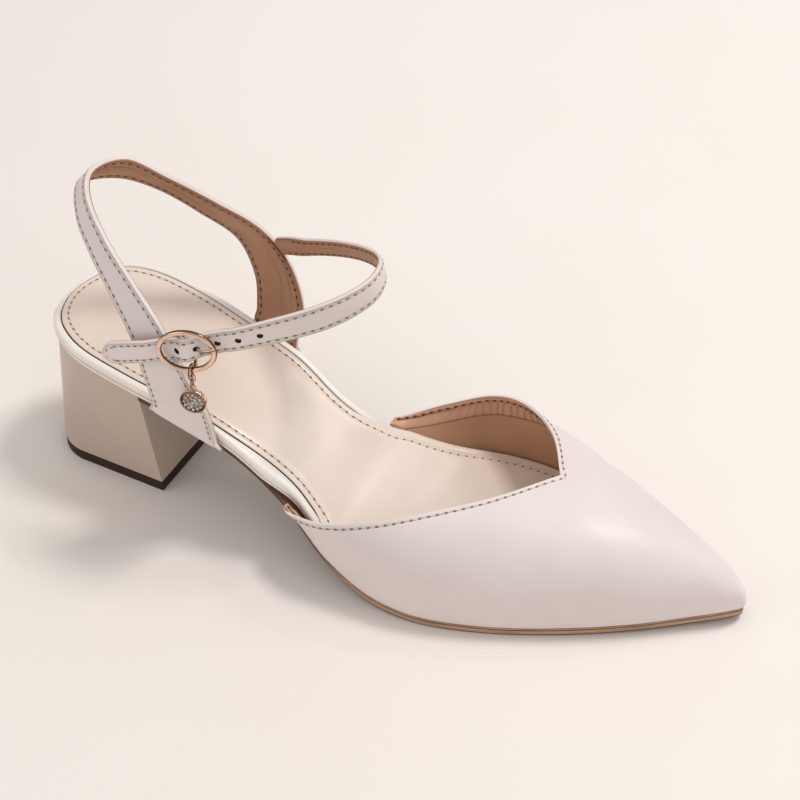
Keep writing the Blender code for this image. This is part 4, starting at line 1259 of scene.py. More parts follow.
@dataclass
class Bottom:
    """Outsole, heel block and top piece."""

    last: Last
    finishes: Finishes
    breast: float = 0.0452
    inset: float = 0.0005
    bevel: float = 0.0004
    base_back: float = 0.0012
    base_front: float = 0.0482
    base_outer: float = 0.0232
    base_inner: float = 0.0216
    base_corner: float = 0.0142
    lift: float = 0.0042
    rim_round: float = 0.0011

    def build(self) -> None:
        """Builds the three pieces."""
        place(self.outsole(), Body.SHOE, Slot.SOLE, "outsole")
        place(self.block(), Body.SHOE, Slot.HEEL, "heel_block")
        place(self.top_piece(), Body.SHOE, Slot.SOLE, "heel_lift")

    def outsole(self) -> bpy.types.Object:
        """The thin sole unit from the breast to the toe, its side worked with a fine groove.

        Returns:
            The sole unit.
        """
        last = self.last
        layers = (
            (self.bevel, last.underside, 0.0),
            (self.bevel * 0.3, last.underside, self.bevel * 0.3),
            (0.0, last.underside, self.bevel),
            (0.0, last.underside, 0.0006),
            (0.0, last.feather, -0.00085),
            (0.00025, last.feather, -0.0007),
            (0.0, last.feather, -0.0005),
            (0.0, last.feather, 0.0),
        )
        levels = []
        cut = self.breast + last.clearance
        starts = {side: float(last.number_at(side, cut)) for side in Side}
        for inset, level, height in layers:
            sides = []
            for side in Side:
                numbers = starts[side] + (len(STATIONS) - 1 - starts[side]) * np.linspace(0, 1, 181) ** 0.94
                x = last.edge(side, numbers)[:, 0]
                waist = last.board_inset(x, 1.0) * (1 - ease((x / last.length - 0.40) / 0.05))
                follow = 0.8 * waist if side is Side.INNER else 0.0
                points = last.edge(side, numbers, self.inset + inset + follow)
                points[0, 0] = cut
                sides.append(heights_at(points, level(points[:, 0]) + height))
            levels.append(tuple(sides))
        # painted shade: the dark groove finish on the rounded bottom edge and in the fine groove under the
        # feather
        shell = Shell().plate(levels, 12, bands=(1, 1, 1, 0, 1, 1, 0))
        return shell.build("outsole_unit", [self.finishes.side, self.finishes.groove])

    def base_outline(self, side: Side, count: int) -> np.ndarray:
        """One side of the heel's base, from the middle of its back to its front corner.

        Args:
            side: which side.
            count: how many points.

        Returns:
            The flat points.
        """
        half = self.base_outer if side is Side.OUTER else self.base_inner
        reach, corner = self.base_front - self.base_back, self.base_corner
        straight, arc = half - corner, corner * math.pi / 2
        along = np.linspace(0, straight + arc + reach - corner, count)
        turn = np.clip((along - straight) / corner, 0, math.pi / 2)
        x = corner * (1 - np.cos(turn)) + np.maximum(0.0, along - straight - arc)
        y = np.minimum(along, straight) + corner * np.sin(turn)
        return np.column_stack([self.base_back + x, side.value * y])

    def seat_outline(self, side: Side, count: int) -> np.ndarray:
        """One side of the heel's top, under the rim.

        Args:
            side: which side.
            count: how many points.

        Returns:
            The flat points.
        """
        numbers = np.linspace(0, float(self.last.number_at(side, self.breast)), 400)
        fine = self.last.edge(side, numbers, self.rim_round)
        fine[-1, 0] = self.breast
        lengths = lengths_along(fine)
        return between(np.linspace(0, lengths[-1], count), lengths, fine)

    def block(self) -> bpy.types.Object:
        """The covered block.

        Returns:
            The block.
        """
        base = self.lift + self.last.clearance
        tops = [self.seat_outline(side, 61) for side in Side]
        bottoms = [self.base_outline(side, 61) for side in Side]
        levels = []
        for share in np.linspace(0, 1, 25):
            sides = []
            for top, bottom in zip(tops, bottoms):
                points = bottom + (top - bottom) * share
                sides.append(heights_at(points, base + (self.last.feather(top[:, 0]) - base) * share))
            levels.append(tuple(sides))
        made = Shell().plate(levels, 10).build("heel_cover", [self.finishes.heel])
        rounded(made, 0.0007)
        return settled(made)

    def top_piece(self) -> bpy.types.Object:
        """The piece that the heel stands on.

        Returns:
            The piece.
        """
        levels = []
        middle = np.array([(self.base_back + self.base_front) / 2, 0.0])
        lift = self.lift
        edge = ((0.0004, 0.0), (0.0001, 0.0001), (0.0, 0.0004), (0.0, lift - 0.0003), (0.0003, lift))
        for inset, height in edge:
            sides = []
            for side in Side:
                outline = self.base_outline(side, 61)
                sides.append(heights_at(middle + (outline - middle) * (1 - inset / self.base_inner), height))
            levels.append(tuple(sides))
        return Shell().plate(levels, 10).build("heel_top_piece", [self.finishes.lift])


@dataclass
class Footbed:
    """The wrapped board with its rim, and the sock in it."""

    last: Last
    finishes: Finishes
    stitching: Stitching
    rim_width: float = 0.0026
    rim_round: float = 0.0011
    sock_thickness: float = 0.0014
    cup: float = 0.0013
    stitch_inset: float = 0.0052
    over_gap: float = 0.0015

    def build(self) -> None:
        """Builds rim, sock and the sock's stitches."""
        place(self.rim(), Body.SHOE, Slot.RIM, "insole_board")
        place(self.sock(), Body.SHOE, Slot.SOCK, "sock")
        lines = [self.inner_line(side, self.stitch_inset) for side in Side]
        self.stitching.sew("sock_seam", lines)

    def hidden(self, side: Side, x: np.ndarray) -> np.ndarray:
        """How far the rim has gone under the sock: fully, inside the vamp."""
        return ease((x / self.last.length - (0.410 if side is Side.INNER else 0.440)) / 0.045)

    def side_points(
        self,
        side: Side,
        inset: float,
        height: float,
        extra: float = 0.0,
        soft: float = 1.0,
        sink: float = 0.0,
    ) -> np.ndarray:
        """One side of a level of the board.

        Args:
            side: which side.
            inset: how far inside the board's edge.
            height: above the board's underside.
            extra: more inset, which fades away toward the toe.
            soft: how softly the level tucks in under the vamp.
            sink: how far the level sinks there. Below nothing, it moves outward over the gap instead.

        Returns:
            Points from the back to the toe.
        """
        last, stations = self.last, self.last.board_stations
        final = len(stations) - 1
        parts = (np.linspace(0, 3, 61), np.linspace(3, final - 2, 141), np.linspace(final - 2, final, 41))
        numbers = np.unique(np.concatenate(parts))
        x = last.edge(side, numbers, 0.0, stations)[:, 0]
        fade = np.clip((0.222 - x) / 0.05, 0.0, 1.0)
        hidden = self.hidden(side, x)
        soft = 1.0 if side is Side.INNER else soft
        whole = last.board_inset(x, soft) + inset + extra * fade
        if sink < 0:
            whole = whole + sink * hidden - self.over_gap * ease((x / last.length - 0.455) / 0.03)
        points = last.edge(side, numbers, whole, stations)
        level = last.feather(points[:, 0]) + last.clearance + height
        return heights_at(points, level - max(sink, 0.0) * hidden)

    def levels(self, layers: Sequence[Sequence[float]]) -> list[tuple[np.ndarray, np.ndarray]]:
        """Levels of a plate: each layer is what side_points takes after the side."""
        return [tuple(self.side_points(side, *layer) for side in Side) for layer in layers]

    def rim(self) -> bpy.types.Object:
        """The board's wrapped edge: a round bead over a flat band, with the sock's bed inside it.

        Returns:
            The rim.
        """
        high, low_round, top_round, inner = self.last.rim_height, self.rim_round, 0.0012, self.rim_width
        bed = high - self.sock_thickness - self.last.clearance
        turns = [(1 - math.sin(turn), 1 - math.cos(turn)) for turn in np.radians([0, 30, 60, 90])]
        side = [(low_round * across, low_round * up) for across, up in turns]
        side += [(0.0, 0.0019), (0.00022, 0.00205), (0.00022, 0.00215), (0.0, 0.0023)]
        side += [(top_round * up, high - top_round * across) for across, up in turns]
        lip = 0.0007
        inside = [(inner - lip * across, high - lip * up) for across, up in turns[1:]] + [(inner, bed)]
        layers = [(*layer, 0.0, 0.0, max(0.0, layer[1] - bed)) for layer in side]
        layers += [(*layer, 0.0, 1.0, max(0.0, layer[1] - bed)) for layer in inside]
        # painted shade: the darker heel leather in the notch at mid-height, and the dark groove finish on the
        # inner wall down into the gap round the sock
        bands = [0] * 4 + [1, 1, 1] + [0] * (len(layers) - 9) + [2]
        shell = Shell().plate(self.levels(layers), 16, self.cup, bands)
        finishes = self.finishes
        return shell.build("insole_rim", [finishes.rim, finishes.heel, finishes.groove], 60.0)

    def sock(self) -> bpy.types.Object:
        """The padded sock, with a shallow groove where it is sewn.

        Returns:
            The sock.
        """
        high, inside = self.last.rim_height, self.rim_width + self.last.clearance
        groove = self.stitch_inset - inside
        layers = (
            (inside, high - self.sock_thickness, 0.0),
            (inside, high - 0.0006, 0.0),
            (inside + 0.0001, high - 0.0003, 0.0),
            (inside + 0.0003, high - 0.0001, 0.0),
            (inside + 0.0006, high, 0.0),
            (inside + 0.0008, high, 0.0006),
            (inside + 0.0008, high - 0.00003, groove - 0.0014),
            (inside + 0.0008, high - 0.00016, groove - 0.0008),
            (inside + 0.0008, high - 0.00003, groove - 0.0002),
            (inside + 0.0008, high, groove + 0.0010),
        )
        wider = [(*layer, 1.0, 0.0002 - inside) for layer in layers]
        # painted shade: the dark groove finish on the sock's outer wall, in the gap beside the rim
        shell = Shell().plate(self.levels(wider), 22, self.cup * 0.9, [1, 1] + [0] * 7)
        return shell.build("sock_lining", [self.finishes.sock, self.finishes.groove], 60.0)

    def inner_line(self, side: Side, inset: float) -> Line:
        """The line of the sock's stitches on one side.

        Args:
            side: which side.
            inset: how far inside the board's edge.

        Returns:
            The line.
        """
        start = self.rim_width + 0.0011
        points = self.side_points(side, start, self.last.rim_height - 0.00012, inset - start, 1.0, -0.0010)
        points = points[points[:, 0] < 0.205]
        along = unit(np.gradient(points, axis=0))
        up = unit(np.cross(along, np.cross([0.0, 0.0, 1.0], along)))
        return Line(points, up)


# The upper


@dataclass
class Vamp:
    """The closed-toe front of the upper: leather, lining and the stitches along its topline."""

    last: Last
    finishes: Finishes
    stitching: Stitching
    height: float = 0.0370
    wall: float = 0.0018
    bulge: float = 0.0012
    turn_under: float = 0.0010
    stitch_down: float = 0.0017
    throat_x: float = 0.1801
    rows_each: int = 24

    def build(self) -> None:
        """Builds the vamp and its stitches."""
        shell = Shell()
        lines = []
        for side in Side:
            grid, down = self.side_grid(side)
            lines.append(self.stitch_line(side, grid, down))
            rows, columns = grid.shape[:2]
            x = grid[:, -1, 0][:, None]
            runs = np.stack([np.broadcast_to(x, down.shape), down], axis=2)
            start = shell.take(grid.reshape(-1, 3), runs.reshape(-1, 2))
            for row in range(rows - 1):
                for column in range(columns - 1):
                    first = start + row * columns + column
                    corners = [first, first + columns, first + columns + 1, first + 1]
                    shell.face(corners if side is Side.OUTER else corners[::-1])
        made = shell.build("vamp_leather", [self.finishes.upper, self.finishes.facing])
        self.check_outward(made)
        self.thin_the_edge(made)
        wall = made.modifiers.new("wall", "SOLIDIFY")
        wall.thickness = self.wall
        wall.offset = -1
        wall.use_even_offset = False
        wall.use_quality_normals = True
        wall.vertex_group = "wall"
        wall.material_offset = 1
        wall.material_offset_rim = 0
        rounded(made, 0.00045)
        place(settled(made), Body.SHOE, Slot.UPPER, "vamp")
        corner = self.corner_point()
        joined = np.vstack([lines[0].points, corner[0][None], lines[1].points[::-1]])
        facing = np.vstack([lines[0].facing, corner[1][None], lines[1].facing[::-1]])
        self.stitching.sew("vamp_top_seam", [Line(joined, facing)])
        inside = [Line(line.points - line.facing * 0.00135, -line.facing) for line in lines]
        self.stitching.sew("vamp_lining_seam", inside, lining=True)

    def thin_the_edge(self, made: bpy.types.Object) -> None:
        """Weights the wall's thickness: skived toward the topline.

        Args:
            made: the open sheet.
        """
        group = made.vertex_groups.new(name="wall")
        runs = made.data.attributes[RUN].data
        for number, run in enumerate(runs):
            group.add([number], 0.5 + 0.5 * float(ease(run.vector[1] / 0.006)), "REPLACE")

    @staticmethod
    def check_outward(made: bpy.types.Object) -> None:
        """Turns an open sheet round if its faces point inward: the middle of the toe's top must face up.

        Args:
            made: the sheet.
        """
        mesh = made.data
        highest = max(mesh.polygons, key=lambda face: face.center.z + 0.2 * face.center.x)
        if highest.normal.z < 0:
            mesh.flip_normals()

    def side_grid(self, side: Side) -> tuple[np.ndarray, np.ndarray]:
        """One side's outer face.

        Args:
            side: which side.

        Returns:
            A grid of points, a row for each point of the lower edge and a column from there to the top,
            and how far each point lies from the topline.
        """
        last = self.last
        rows = THROAT[side] + RIDGE
        bend = len(THROAT[side])
        scale = (last.length, last.ball_width, self.height)
        places = [np.multiply((row.along, row.aside, row.up), scale) for row in rows]
        to_throat = np.linspace(0, bend, self.rows_each * bend + 1)
        to_toe = bend + (len(rows) - 1 - bend) * np.linspace(0, 1, 121)[1:]
        tops = np.vstack([smooth(places[: bend + 1], to_throat), smooth(places[bend:], to_toe - bend)])
        along = np.concatenate([to_throat, to_toe])

        def column(name: str) -> np.ndarray:
            """One column of the table, along the whole side."""
            return eased(np.arange(len(rows)), [getattr(row, name) for row in rows], along)

        feet = last.number_at(side, np.minimum(column("foot") * last.length, last.length * 0.99999))
        feet[-1] = len(STATIONS) - 1
        foot = last.edge(side, feet)
        inward = unit(last.edge(side, feet, 0.001) - foot)
        base = last.feather(foot[:, 0]) + last.clearance
        turn = np.minimum(self.turn_under, (tops[:, 2] - base) * 0.4)
        lean, swell = column("lean")[:, None], column("swell")
        fullness = column("fullness")[:, None]
        shoulder = foot + (tops[:, :2] - foot) * lean - inward * self.bulge
        low = np.column_stack([foot, base + turn])
        swell = self.level_swell(along, bend, tops, shoulder, low, swell)
        shoulder = np.column_stack([shoulder, low[:, 2] + swell * (tops[:, 2] - low[:, 2])])
        fine = []
        for share in np.linspace(0, 1, 61):
            first, second, third = (1 - share) ** 2, 2 * share * (1 - share) * fullness, share**2
            fine.append((first * low + second * shoulder + third * tops) / (first + second + third))
        section = np.array(fine).transpose(1, 0, 2)
        grid, down = self.respaced(section)
        tucked = np.column_stack([foot + inward * turn[:, None], base])
        middle = np.column_stack([foot + inward * turn[:, None] * 0.3, base + turn * 0.3])
        grid = np.concatenate([tucked[:, None], middle[:, None], grid], axis=1)
        down = np.concatenate([down[:, :1], down[:, :1], down], axis=1)
        beyond = np.maximum(0.0, grid[..., 0] - self.throat_x)
        down = np.hypot(down, beyond)
        return self.worked(grid, down, side), down

    @staticmethod
    def level_swell(
        along: np.ndarray,
        bend: int,
        tops: np.ndarray,
        shoulder: np.ndarray,
        low: np.ndarray,
        swell: np.ndarray,
    ) -> np.ndarray:
        """Shoulder heights that let both sides meet on the ridge in one smooth face.

        Args:
            along: row numbers.
            bend: the row number where the ridge begins.
            tops: the upper ends of the section lines.
            shoulder: the flat places of their shoulders.
            low: their lower ends.
            swell: the heights from the table, which hold beside the throat.

        Returns:
            The height of each shoulder, as a share of its section's.
        """
        ridge = along >= bend
        line = tops[ridge]
        way = np.gradient(line, axis=0)
        flat = np.maximum(np.linalg.norm(way[:, :2], axis=1), 1e-9)
        reach = np.sum((shoulder[ridge] - line[:, :2]) * way[:, :2], axis=1) / flat
        height = line[:, 2] + reach * way[:, 2] / flat
        level = (height - low[ridge, 2]) / (line[:, 2] - low[ridge, 2])
        made = swell.copy()
        made[ridge] = level
        made[~ridge] += (level[0] - swell[ridge][0]) * ease((along[~ridge] - bend + 1.5) / 1.5)
        return made

    @staticmethod
    def respaced(section: np.ndarray) -> tuple[np.ndarray, np.ndarray]:
        """Section lines with points set close together near the topline.

        Args:
            section: a line of points for each row, from the lower edge to the top.

        Returns:
            The new lines, and each point's length from the top.
        """
        near = np.array([0, 0.35, 0.7, 1.05, 1.4, 1.7, 2.0, 2.35, 2.8, 3.4, 4.2, 5.2]) * MM
        grid, down = [], []
        for line in section:
            lengths = lengths_along(line)
            whole = lengths[-1]
            close = near * min(1.0, whole / (2 * near[-1]))
            rest = close[-1] + (whole - close[-1]) * np.linspace(0, 1, 23)[1:]
            from_top = np.concatenate([close, rest])[::-1]
            grid.append(between(whole - from_top, lengths, line))
            down.append(from_top)
        return np.array(grid), np.array(down)

    def worked(self, grid: np.ndarray, down: np.ndarray, side: Side) -> np.ndarray:
        """The grid with the soft fold of the topline and the groove that its stitches pull in.

        Args:
            grid: the side's points.
            down: how far each lies from the topline.
            side: which side.

        Returns:
            The moved points.
        """
        out = self.outward(grid, side)
        depth = -0.00016 * np.exp(-(((down - self.stitch_down) / 0.00045) ** 2))
        fold = 0.00010 * np.exp(-(((down - 0.0008) / 0.0005) ** 2))
        return grid + out * (depth + fold)[..., None]

    @staticmethod
    def outward(grid: np.ndarray, side: Side) -> np.ndarray:
        """Outward unit vectors of a side's grid."""
        normal = unit(np.cross(np.gradient(grid, axis=0), np.gradient(grid, axis=1)))
        return normal * (np.sign(normal[:, 5:15, 1].mean() * side.value) or 1)

    def stitch_line(self, side: Side, grid: np.ndarray, down: np.ndarray) -> Line:
        """The line of the topline's stitches on one side, from its tail to near the throat's point.

        Args:
            side: which side.
            grid: the side's points.
            down: how far each lies from the topline.

        Returns:
            The line.
        """
        out = self.outward(grid, side)
        points, facing = [], []
        for row in range(8, self.rows_each * len(THROAT[side]) - 3):
            order = np.argsort(down[row])
            for found, values in ((points, grid), (facing, out)):
                found.append(between(self.stitch_down, down[row][order], values[row][order]))
        way = unit(np.array(facing))
        return Line(np.array(points), way).lifted(0.00005)

    def corner_point(self) -> tuple[np.ndarray, np.ndarray]:
        """Where the two rows of stitches meet, in front of the throat's point.

        Returns:
            The point, and the way that the surface faces there.
        """
        grid, _ = self.side_grid(Side.OUTER)
        ridge = grid[self.rows_each * len(THROAT[Side.OUTER]) :, -1]
        at = self.throat_x + self.stitch_down * 1.1
        return between(at, ridge[:, 0], ridge), unit(np.array([0.25, 0.0, 1.0]))


SLING_CREASES = (
    Crease(True, (0.47, 0.64), (0.60, 0.60), 0.9, 0.62),
    Crease(True, (0.60, 0.60), (0.73, 0.47), 0.9, 0.55),
    Crease(True, (0.57, 0.33), (0.70, 0.30), 0.8, 0.34),
    Crease(True, (0.78, 0.38), (0.90, 0.50), 1.6, 0.45),
    Crease(True, (0.83, 0.74), (0.92, 0.66), 1.3, 0.35),
    Crease(True, (0.26, 0.42), (0.44, 0.58), 0.9, 0.45),
    Crease(False, (0.045, 0.20), (0.060, 0.48), 1.3, 0.30),
    Crease(False, (0.050, 0.62), (0.075, 0.80), 1.2, 0.26),
    Crease(False, (0.955, 0.30), (0.940, 0.62), 1.3, 0.28),
    Crease(False, (0.40, 0.45), (0.47, 0.55), 1.1, 0.16),
)


@dataclass
class StrapForm:
    """A strap between two edges: two layers with round edges, a seam between them and sewn grooves."""

    low: np.ndarray
    high: np.ndarray
    out_low: np.ndarray
    out_high: np.ndarray
    thickness: np.ndarray
    creases: tuple[Crease, ...] = ()
    groove: float = 0.0017
    corner: float = 0.00055
    sunk: float = 0.00008

    def section(self, width: float, thick: float) -> tuple[np.ndarray, np.ndarray, list[int]]:
        """The closed outline of a cross-section.

        Args:
            width: from edge to edge.
            thick: the strap's thickness there.

        Returns:
            Places across the strap, heights off its outer face and the finish of each face.
        """
        corner = min(self.corner, thick * 0.32, width * 0.2)
        reach = min(1.0, width / 0.008)
        near = np.array([1.0, 1.35, 1.7, 2.05, 2.4, 3.1]) * MM * reach
        inside = np.concatenate([near, np.linspace(near[-1], width - near[-1], 13)[1:-1], width - near[::-1]])
        turns = np.radians([0, 30, 60, 90])
        round_low = [(corner * (1 - math.cos(turn)), -corner * (1 - math.sin(turn))) for turn in turns]
        flat = [(across, self.relief(across, width)) for across in inside]
        round_high = [(width - across, depth) for across, depth in reversed(round_low)]
        outer = round_low + flat + round_high
        seam_high = [(width - 0.0002, -thick / 2)]
        inner = [(across, -thick - depth) for across, depth in reversed(outer)]
        seam_low = [(0.0002, -thick / 2)]
        ring = outer + seam_high + inner + seam_low
        others = len(ring) - len(outer) - len(inner)
        points = np.array(ring)
        return points[:, 0], points[:, 1], [0] * (len(outer) + 1) + [1] * (len(inner) - 1) + [0] * others

    def relief(self, across: float, width: float) -> float:
        """How high the outer face stands at a place across it.

        Args:
            across: the place.
            width: from edge to edge.

        Returns:
            The height.
        """
        edge = min(across, width - across)
        sunk = -0.00014 * math.exp(-(((edge - self.groove) / 0.00042) ** 2))
        crown = 0.00012 * (1 - math.exp(-(((edge - self.groove) / 0.0012) ** 2)))
        return (sunk + crown) * min(1.0, width / 0.006)

    def troughs(self, across: np.ndarray, inner: np.ndarray, along: float, whole: float) -> np.ndarray:
        """How far the creases move the points of a cross-section.

        Args:
            across: places across the strap.
            inner: which of them lie on the lining.
            along: the cross-section's place along the strap, as a share.
            whole: the strap's length.

        Returns:
            Moves along the outward way.
        """
        moves = np.zeros(len(across))
        width = max(float(across.max()), 1e-6)
        here = np.column_stack([np.full(len(across), along * whole), across])
        for crease in self.creases:
            start, stop = (np.array([end[0] * whole, end[1] * width]) for end in (crease.start, crease.stop))
            way = stop - start
            share = np.clip((here - start) @ way / (way @ way), 0.0, 1.0)
            away = np.linalg.norm(here - start - share[:, None] * way, axis=1)
            near_edge = ease(np.minimum(across, width - across) / 0.0022)
            depth = crease.depth * MM * np.exp(-((away / (crease.half_width * MM)) ** 2)) * near_edge
            moves += np.where(inner == crease.inner, depth if crease.inner else -depth, 0.0)
        return moves

    def shell(self) -> Shell:
        """The strap's body.

        Returns:
            A shell with the body in it.
        """
        run = lengths_along((self.low + self.high) / 2)
        rings, runs, finishes = [], [], []
        for number in range(len(self.low)):
            low, high = self.low[number], self.high[number]
            width = float(np.linalg.norm(high - low))
            across, height, finishes = self.section(width, float(self.thickness[number]))
            lining = height < -self.thickness[number] / 2
            height = height + self.troughs(across, lining, run[number] / run[-1], run[-1])
            way = (high - low) / max(width, 1e-9)
            share = (across / max(width, 1e-9))[:, None]
            out = unit(self.out_low[number] * (1 - share) + self.out_high[number] * share)
            rings.append(low + way * across[:, None] + out * height[:, None])
            from_edge = np.minimum(across, width - across)
            runs.append(np.column_stack([np.full(len(across), run[number]), across, from_edge]))
        return Shell().loft(np.array(rings), np.array(runs), finishes)

    def row(self, inset: float, from_high: bool, inner: bool, keep: slice) -> Line:
        """A line for stitches at an inset from one edge.

        Args:
            inset: how far from the edge.
            from_high: whether from the high edge.
            inner: whether on the lining's side.
            keep: which rows of the strap it runs along.

        Returns:
            The line.
        """
        width = np.linalg.norm(self.high - self.low, axis=1)[:, None]
        share = np.minimum(inset / width, 0.5)
        share = 1 - share if from_high else share
        out = unit(self.out_low * (1 - share) + self.out_high * share)
        points = self.low + (self.high - self.low) * share
        points = points - out * (self.thickness[:, None] - self.sunk if inner else self.sunk)
        out = -out if inner else out
        return Line(points[keep], out[keep])

    def rows(self, inner: bool, keep: slice) -> list[Line]:
        """The two rows of stitches of one face."""
        return [self.row(self.groove, high, inner, keep) for high in (False, True)]


@dataclass
class Sling:
    """The strap round the back of the heel, with its feet outside the rim."""

    last: Last
    finishes: Finishes
    stitching: Stitching
    height: float = 0.112
    half_width: float = 0.0325
    thickness: float = 0.0020
    skive: float = 0.35

    def line(self, row: Band, sign: int) -> list[list[float]]:
        """The two ends of a crosswise line.

        Args:
            row: the table's row.
            sign: 1 on the inner side and -1 on the outer one.

        Returns:
            The low end and the high end.
        """
        length = self.last.length
        low = [row.low_along * length, sign * row.low_aside * self.half_width, row.low_up * self.height]
        high = [row.high_along * length, sign * row.high_aside * self.half_width, row.high_up * self.height]
        return [low, high]

    def side_lines(self, side: Side) -> list[list[list[float]]]:
        """The crosswise lines of one side, from the foot to the back.

        Args:
            side: which side.

        Returns:
            The lines.
        """
        last = self.last
        rows = []
        for tab in TABS[side]:
            line = []
            for share in (tab.back, tab.front):
                number = last.number_at(side, share * last.length)
                point = last.edge(side, number, -(self.thickness * tab.off + last.clearance))[0]
                height = float(last.feather(point[:1])[0]) + last.rim_height * tab.above
                line.append([point[0], point[1], height])
            rows.append(line)
        return rows + [self.line(row, side.value) for row in SLING[side] + SLING_BACK]

    def form(self) -> StrapForm:
        """The sling's form.

        Returns:
            The form.
        """
        outer, inner = self.side_lines(Side.OUTER), self.side_lines(Side.INNER)
        rows = np.array(outer + inner[-2::-1])
        at = np.linspace(0, len(rows) - 1, 22 * (len(rows) - 1) + 1)
        low, high = smooth(rows[:, 0], at), smooth(rows[:, 1], at)
        across = high - low
        out_low = unit(np.cross(np.gradient(low, axis=0), across))
        out_high = unit(np.cross(np.gradient(high, axis=0), across))
        if out_low[len(at) // 2, 0] > 0:
            out_low, out_high = -out_low, -out_high
        to_end = np.minimum(at, at[-1] - at)
        thick = self.thickness * (1 - self.skive * np.clip(1 - to_end / 1.25, 0, 1))
        return StrapForm(low, high, out_low, out_high, thick, SLING_CREASES)

    def build(self) -> None:
        """Builds the sling and its stitches."""
        form = self.form()
        layers = [self.finishes.strap, self.finishes.lining]
        place(form.shell().build("sling_leather", layers, 45.0), Body.SHOE, Slot.UPPER, "straps")
        keep = slice(40, len(form.low) - 40)
        self.stitching.sew("sling_outer_seam", form.rows(False, keep))
        self.stitching.sew("sling_lining_seam", form.rows(True, keep), lining=True)
        self.slit(form)

    def slit(self, form: StrapForm) -> None:
        """A thin dark tube of painted shade along the lining's front edge, for the slit where the ankle strap
        comes out on the inner side.

        Args:
            form: the sling's form.
        """
        line = form.row(0.0004, True, True, slice(len(form.low) // 2, None)).lifted(0.00005).points
        line = line[(line[:, 2] > 0.0705) & (line[:, 2] < 0.0800)]
        made = Shell().tube(line, 0.00022, 8).build("ankle_strap_slit_shade", [self.finishes.dark])
        place(made, Body.SHOE, Slot.UPPER)


@dataclass
class StrapPath:
    """The ankle strap's outer face, and axes at any length along it."""

    last: Last
    height: float = 0.112
    half_width: float = 0.0325
    thickness: float = 0.0016
    end_round: float = 0.0046
    skive: float = 0.0090
    buckle_share: float = 0.803
    rise: float = 0.0011
    dip: float = 0.0008
    frame_length: float = 0.0206
    frame_width: float = 0.0166
    frame_wire: float = 0.0018

    def __post_init__(self) -> None:
        """Works out the path."""
        lines = np.array([Sling.line(self, row, 1) for row in ANKLE])
        at = np.linspace(0, len(ANKLE) - 1, 161)
        low, high = smooth(lines[:, 0], at), smooth(lines[:, 1], at)
        self.middle, self.half = (low + high) / 2, (high - low) / 2
        self.lengths = lengths_along(self.middle)
        self.along = unit(np.gradient(self.middle, axis=0))
        self.out = unit(np.cross(self.half, self.along))
        self.whole = float(self.lengths[-1])
        self.buckle_at = self.buckle_share * self.whole
        self.half_at_buckle = float(np.linalg.norm(self.pick(self.half, self.buckle_at)))

    def pick(self, values: np.ndarray, length: Any) -> np.ndarray:
        """A value of the path at a length along it."""
        return between(length, self.lengths, values)

    def halves(self) -> tuple[float, float]:
        """Half the length and half the width of the frame, between the middles of its wire."""
        return (self.frame_length - self.frame_wire) / 2, (self.frame_width - self.frame_wire) / 2

    def wave(self, length: Any) -> np.ndarray:
        """How far the strap rises over the buckle's bar, and dips where the frame crosses over it.

        Args:
            length: lengths along the path.

        Returns:
            The heights off the path.
        """
        away = np.abs(np.asarray(length, float) - self.buckle_at)
        half_length, half_width = self.halves()
        narrow = min(self.half_at_buckle / half_width, 0.9)
        rising = half_length * math.sqrt(1 - narrow**2) - self.frame_wire / 2
        middle, swing = (self.rise - self.dip) / 2, (self.rise + self.dip) / 2
        over = middle + swing * np.cos(math.pi * np.minimum(away, rising) / rising)
        fade = np.clip((away - half_length - self.frame_wire / 2) / (0.8 * half_length), 0, 1)
        return np.where(away <= rising, over, -self.dip * (1 + np.cos(math.pi * fade)) / 2)

    def frame(self, length: float) -> Matrix:
        """Axes at a length: toward the front, across the strap upward and outward, with their origin.

        Args:
            length: the length along the path.

        Returns:
            The axes.
        """
        forward = -unit(self.pick(self.along, length))
        out = unit(self.pick(self.out, length))
        up = unit(np.cross(out, forward))
        if up[2] < 0:
            up, out = -up, -out
        out = unit(np.cross(forward, up))
        origin = self.pick(self.middle, length)
        return Matrix([[forward[i], up[i], out[i], origin[i]] for i in range(3)] + [[0, 0, 0, 1]])

    def placed(self, points: Sequence[Sequence[float]]) -> np.ndarray:
        """Points given in the buckle's axes, in the shoe's."""
        frame = self.frame(self.buckle_at)
        return np.array([frame @ Vector(point) for point in points])

    def bar_level(self, bar_wire: float, loop_leather: float) -> float:
        """How far the bar's middle lies outward of the strap's outer face."""
        gap = self.last.clearance
        return self.rise - self.thickness - gap - loop_leather - gap - bar_wire / 2

    @property
    def frame_level(self) -> float:
        """How far the frame's middle lies outward of the strap's outer face."""
        return -self.dip + 2 * self.last.clearance + self.frame_wire / 2


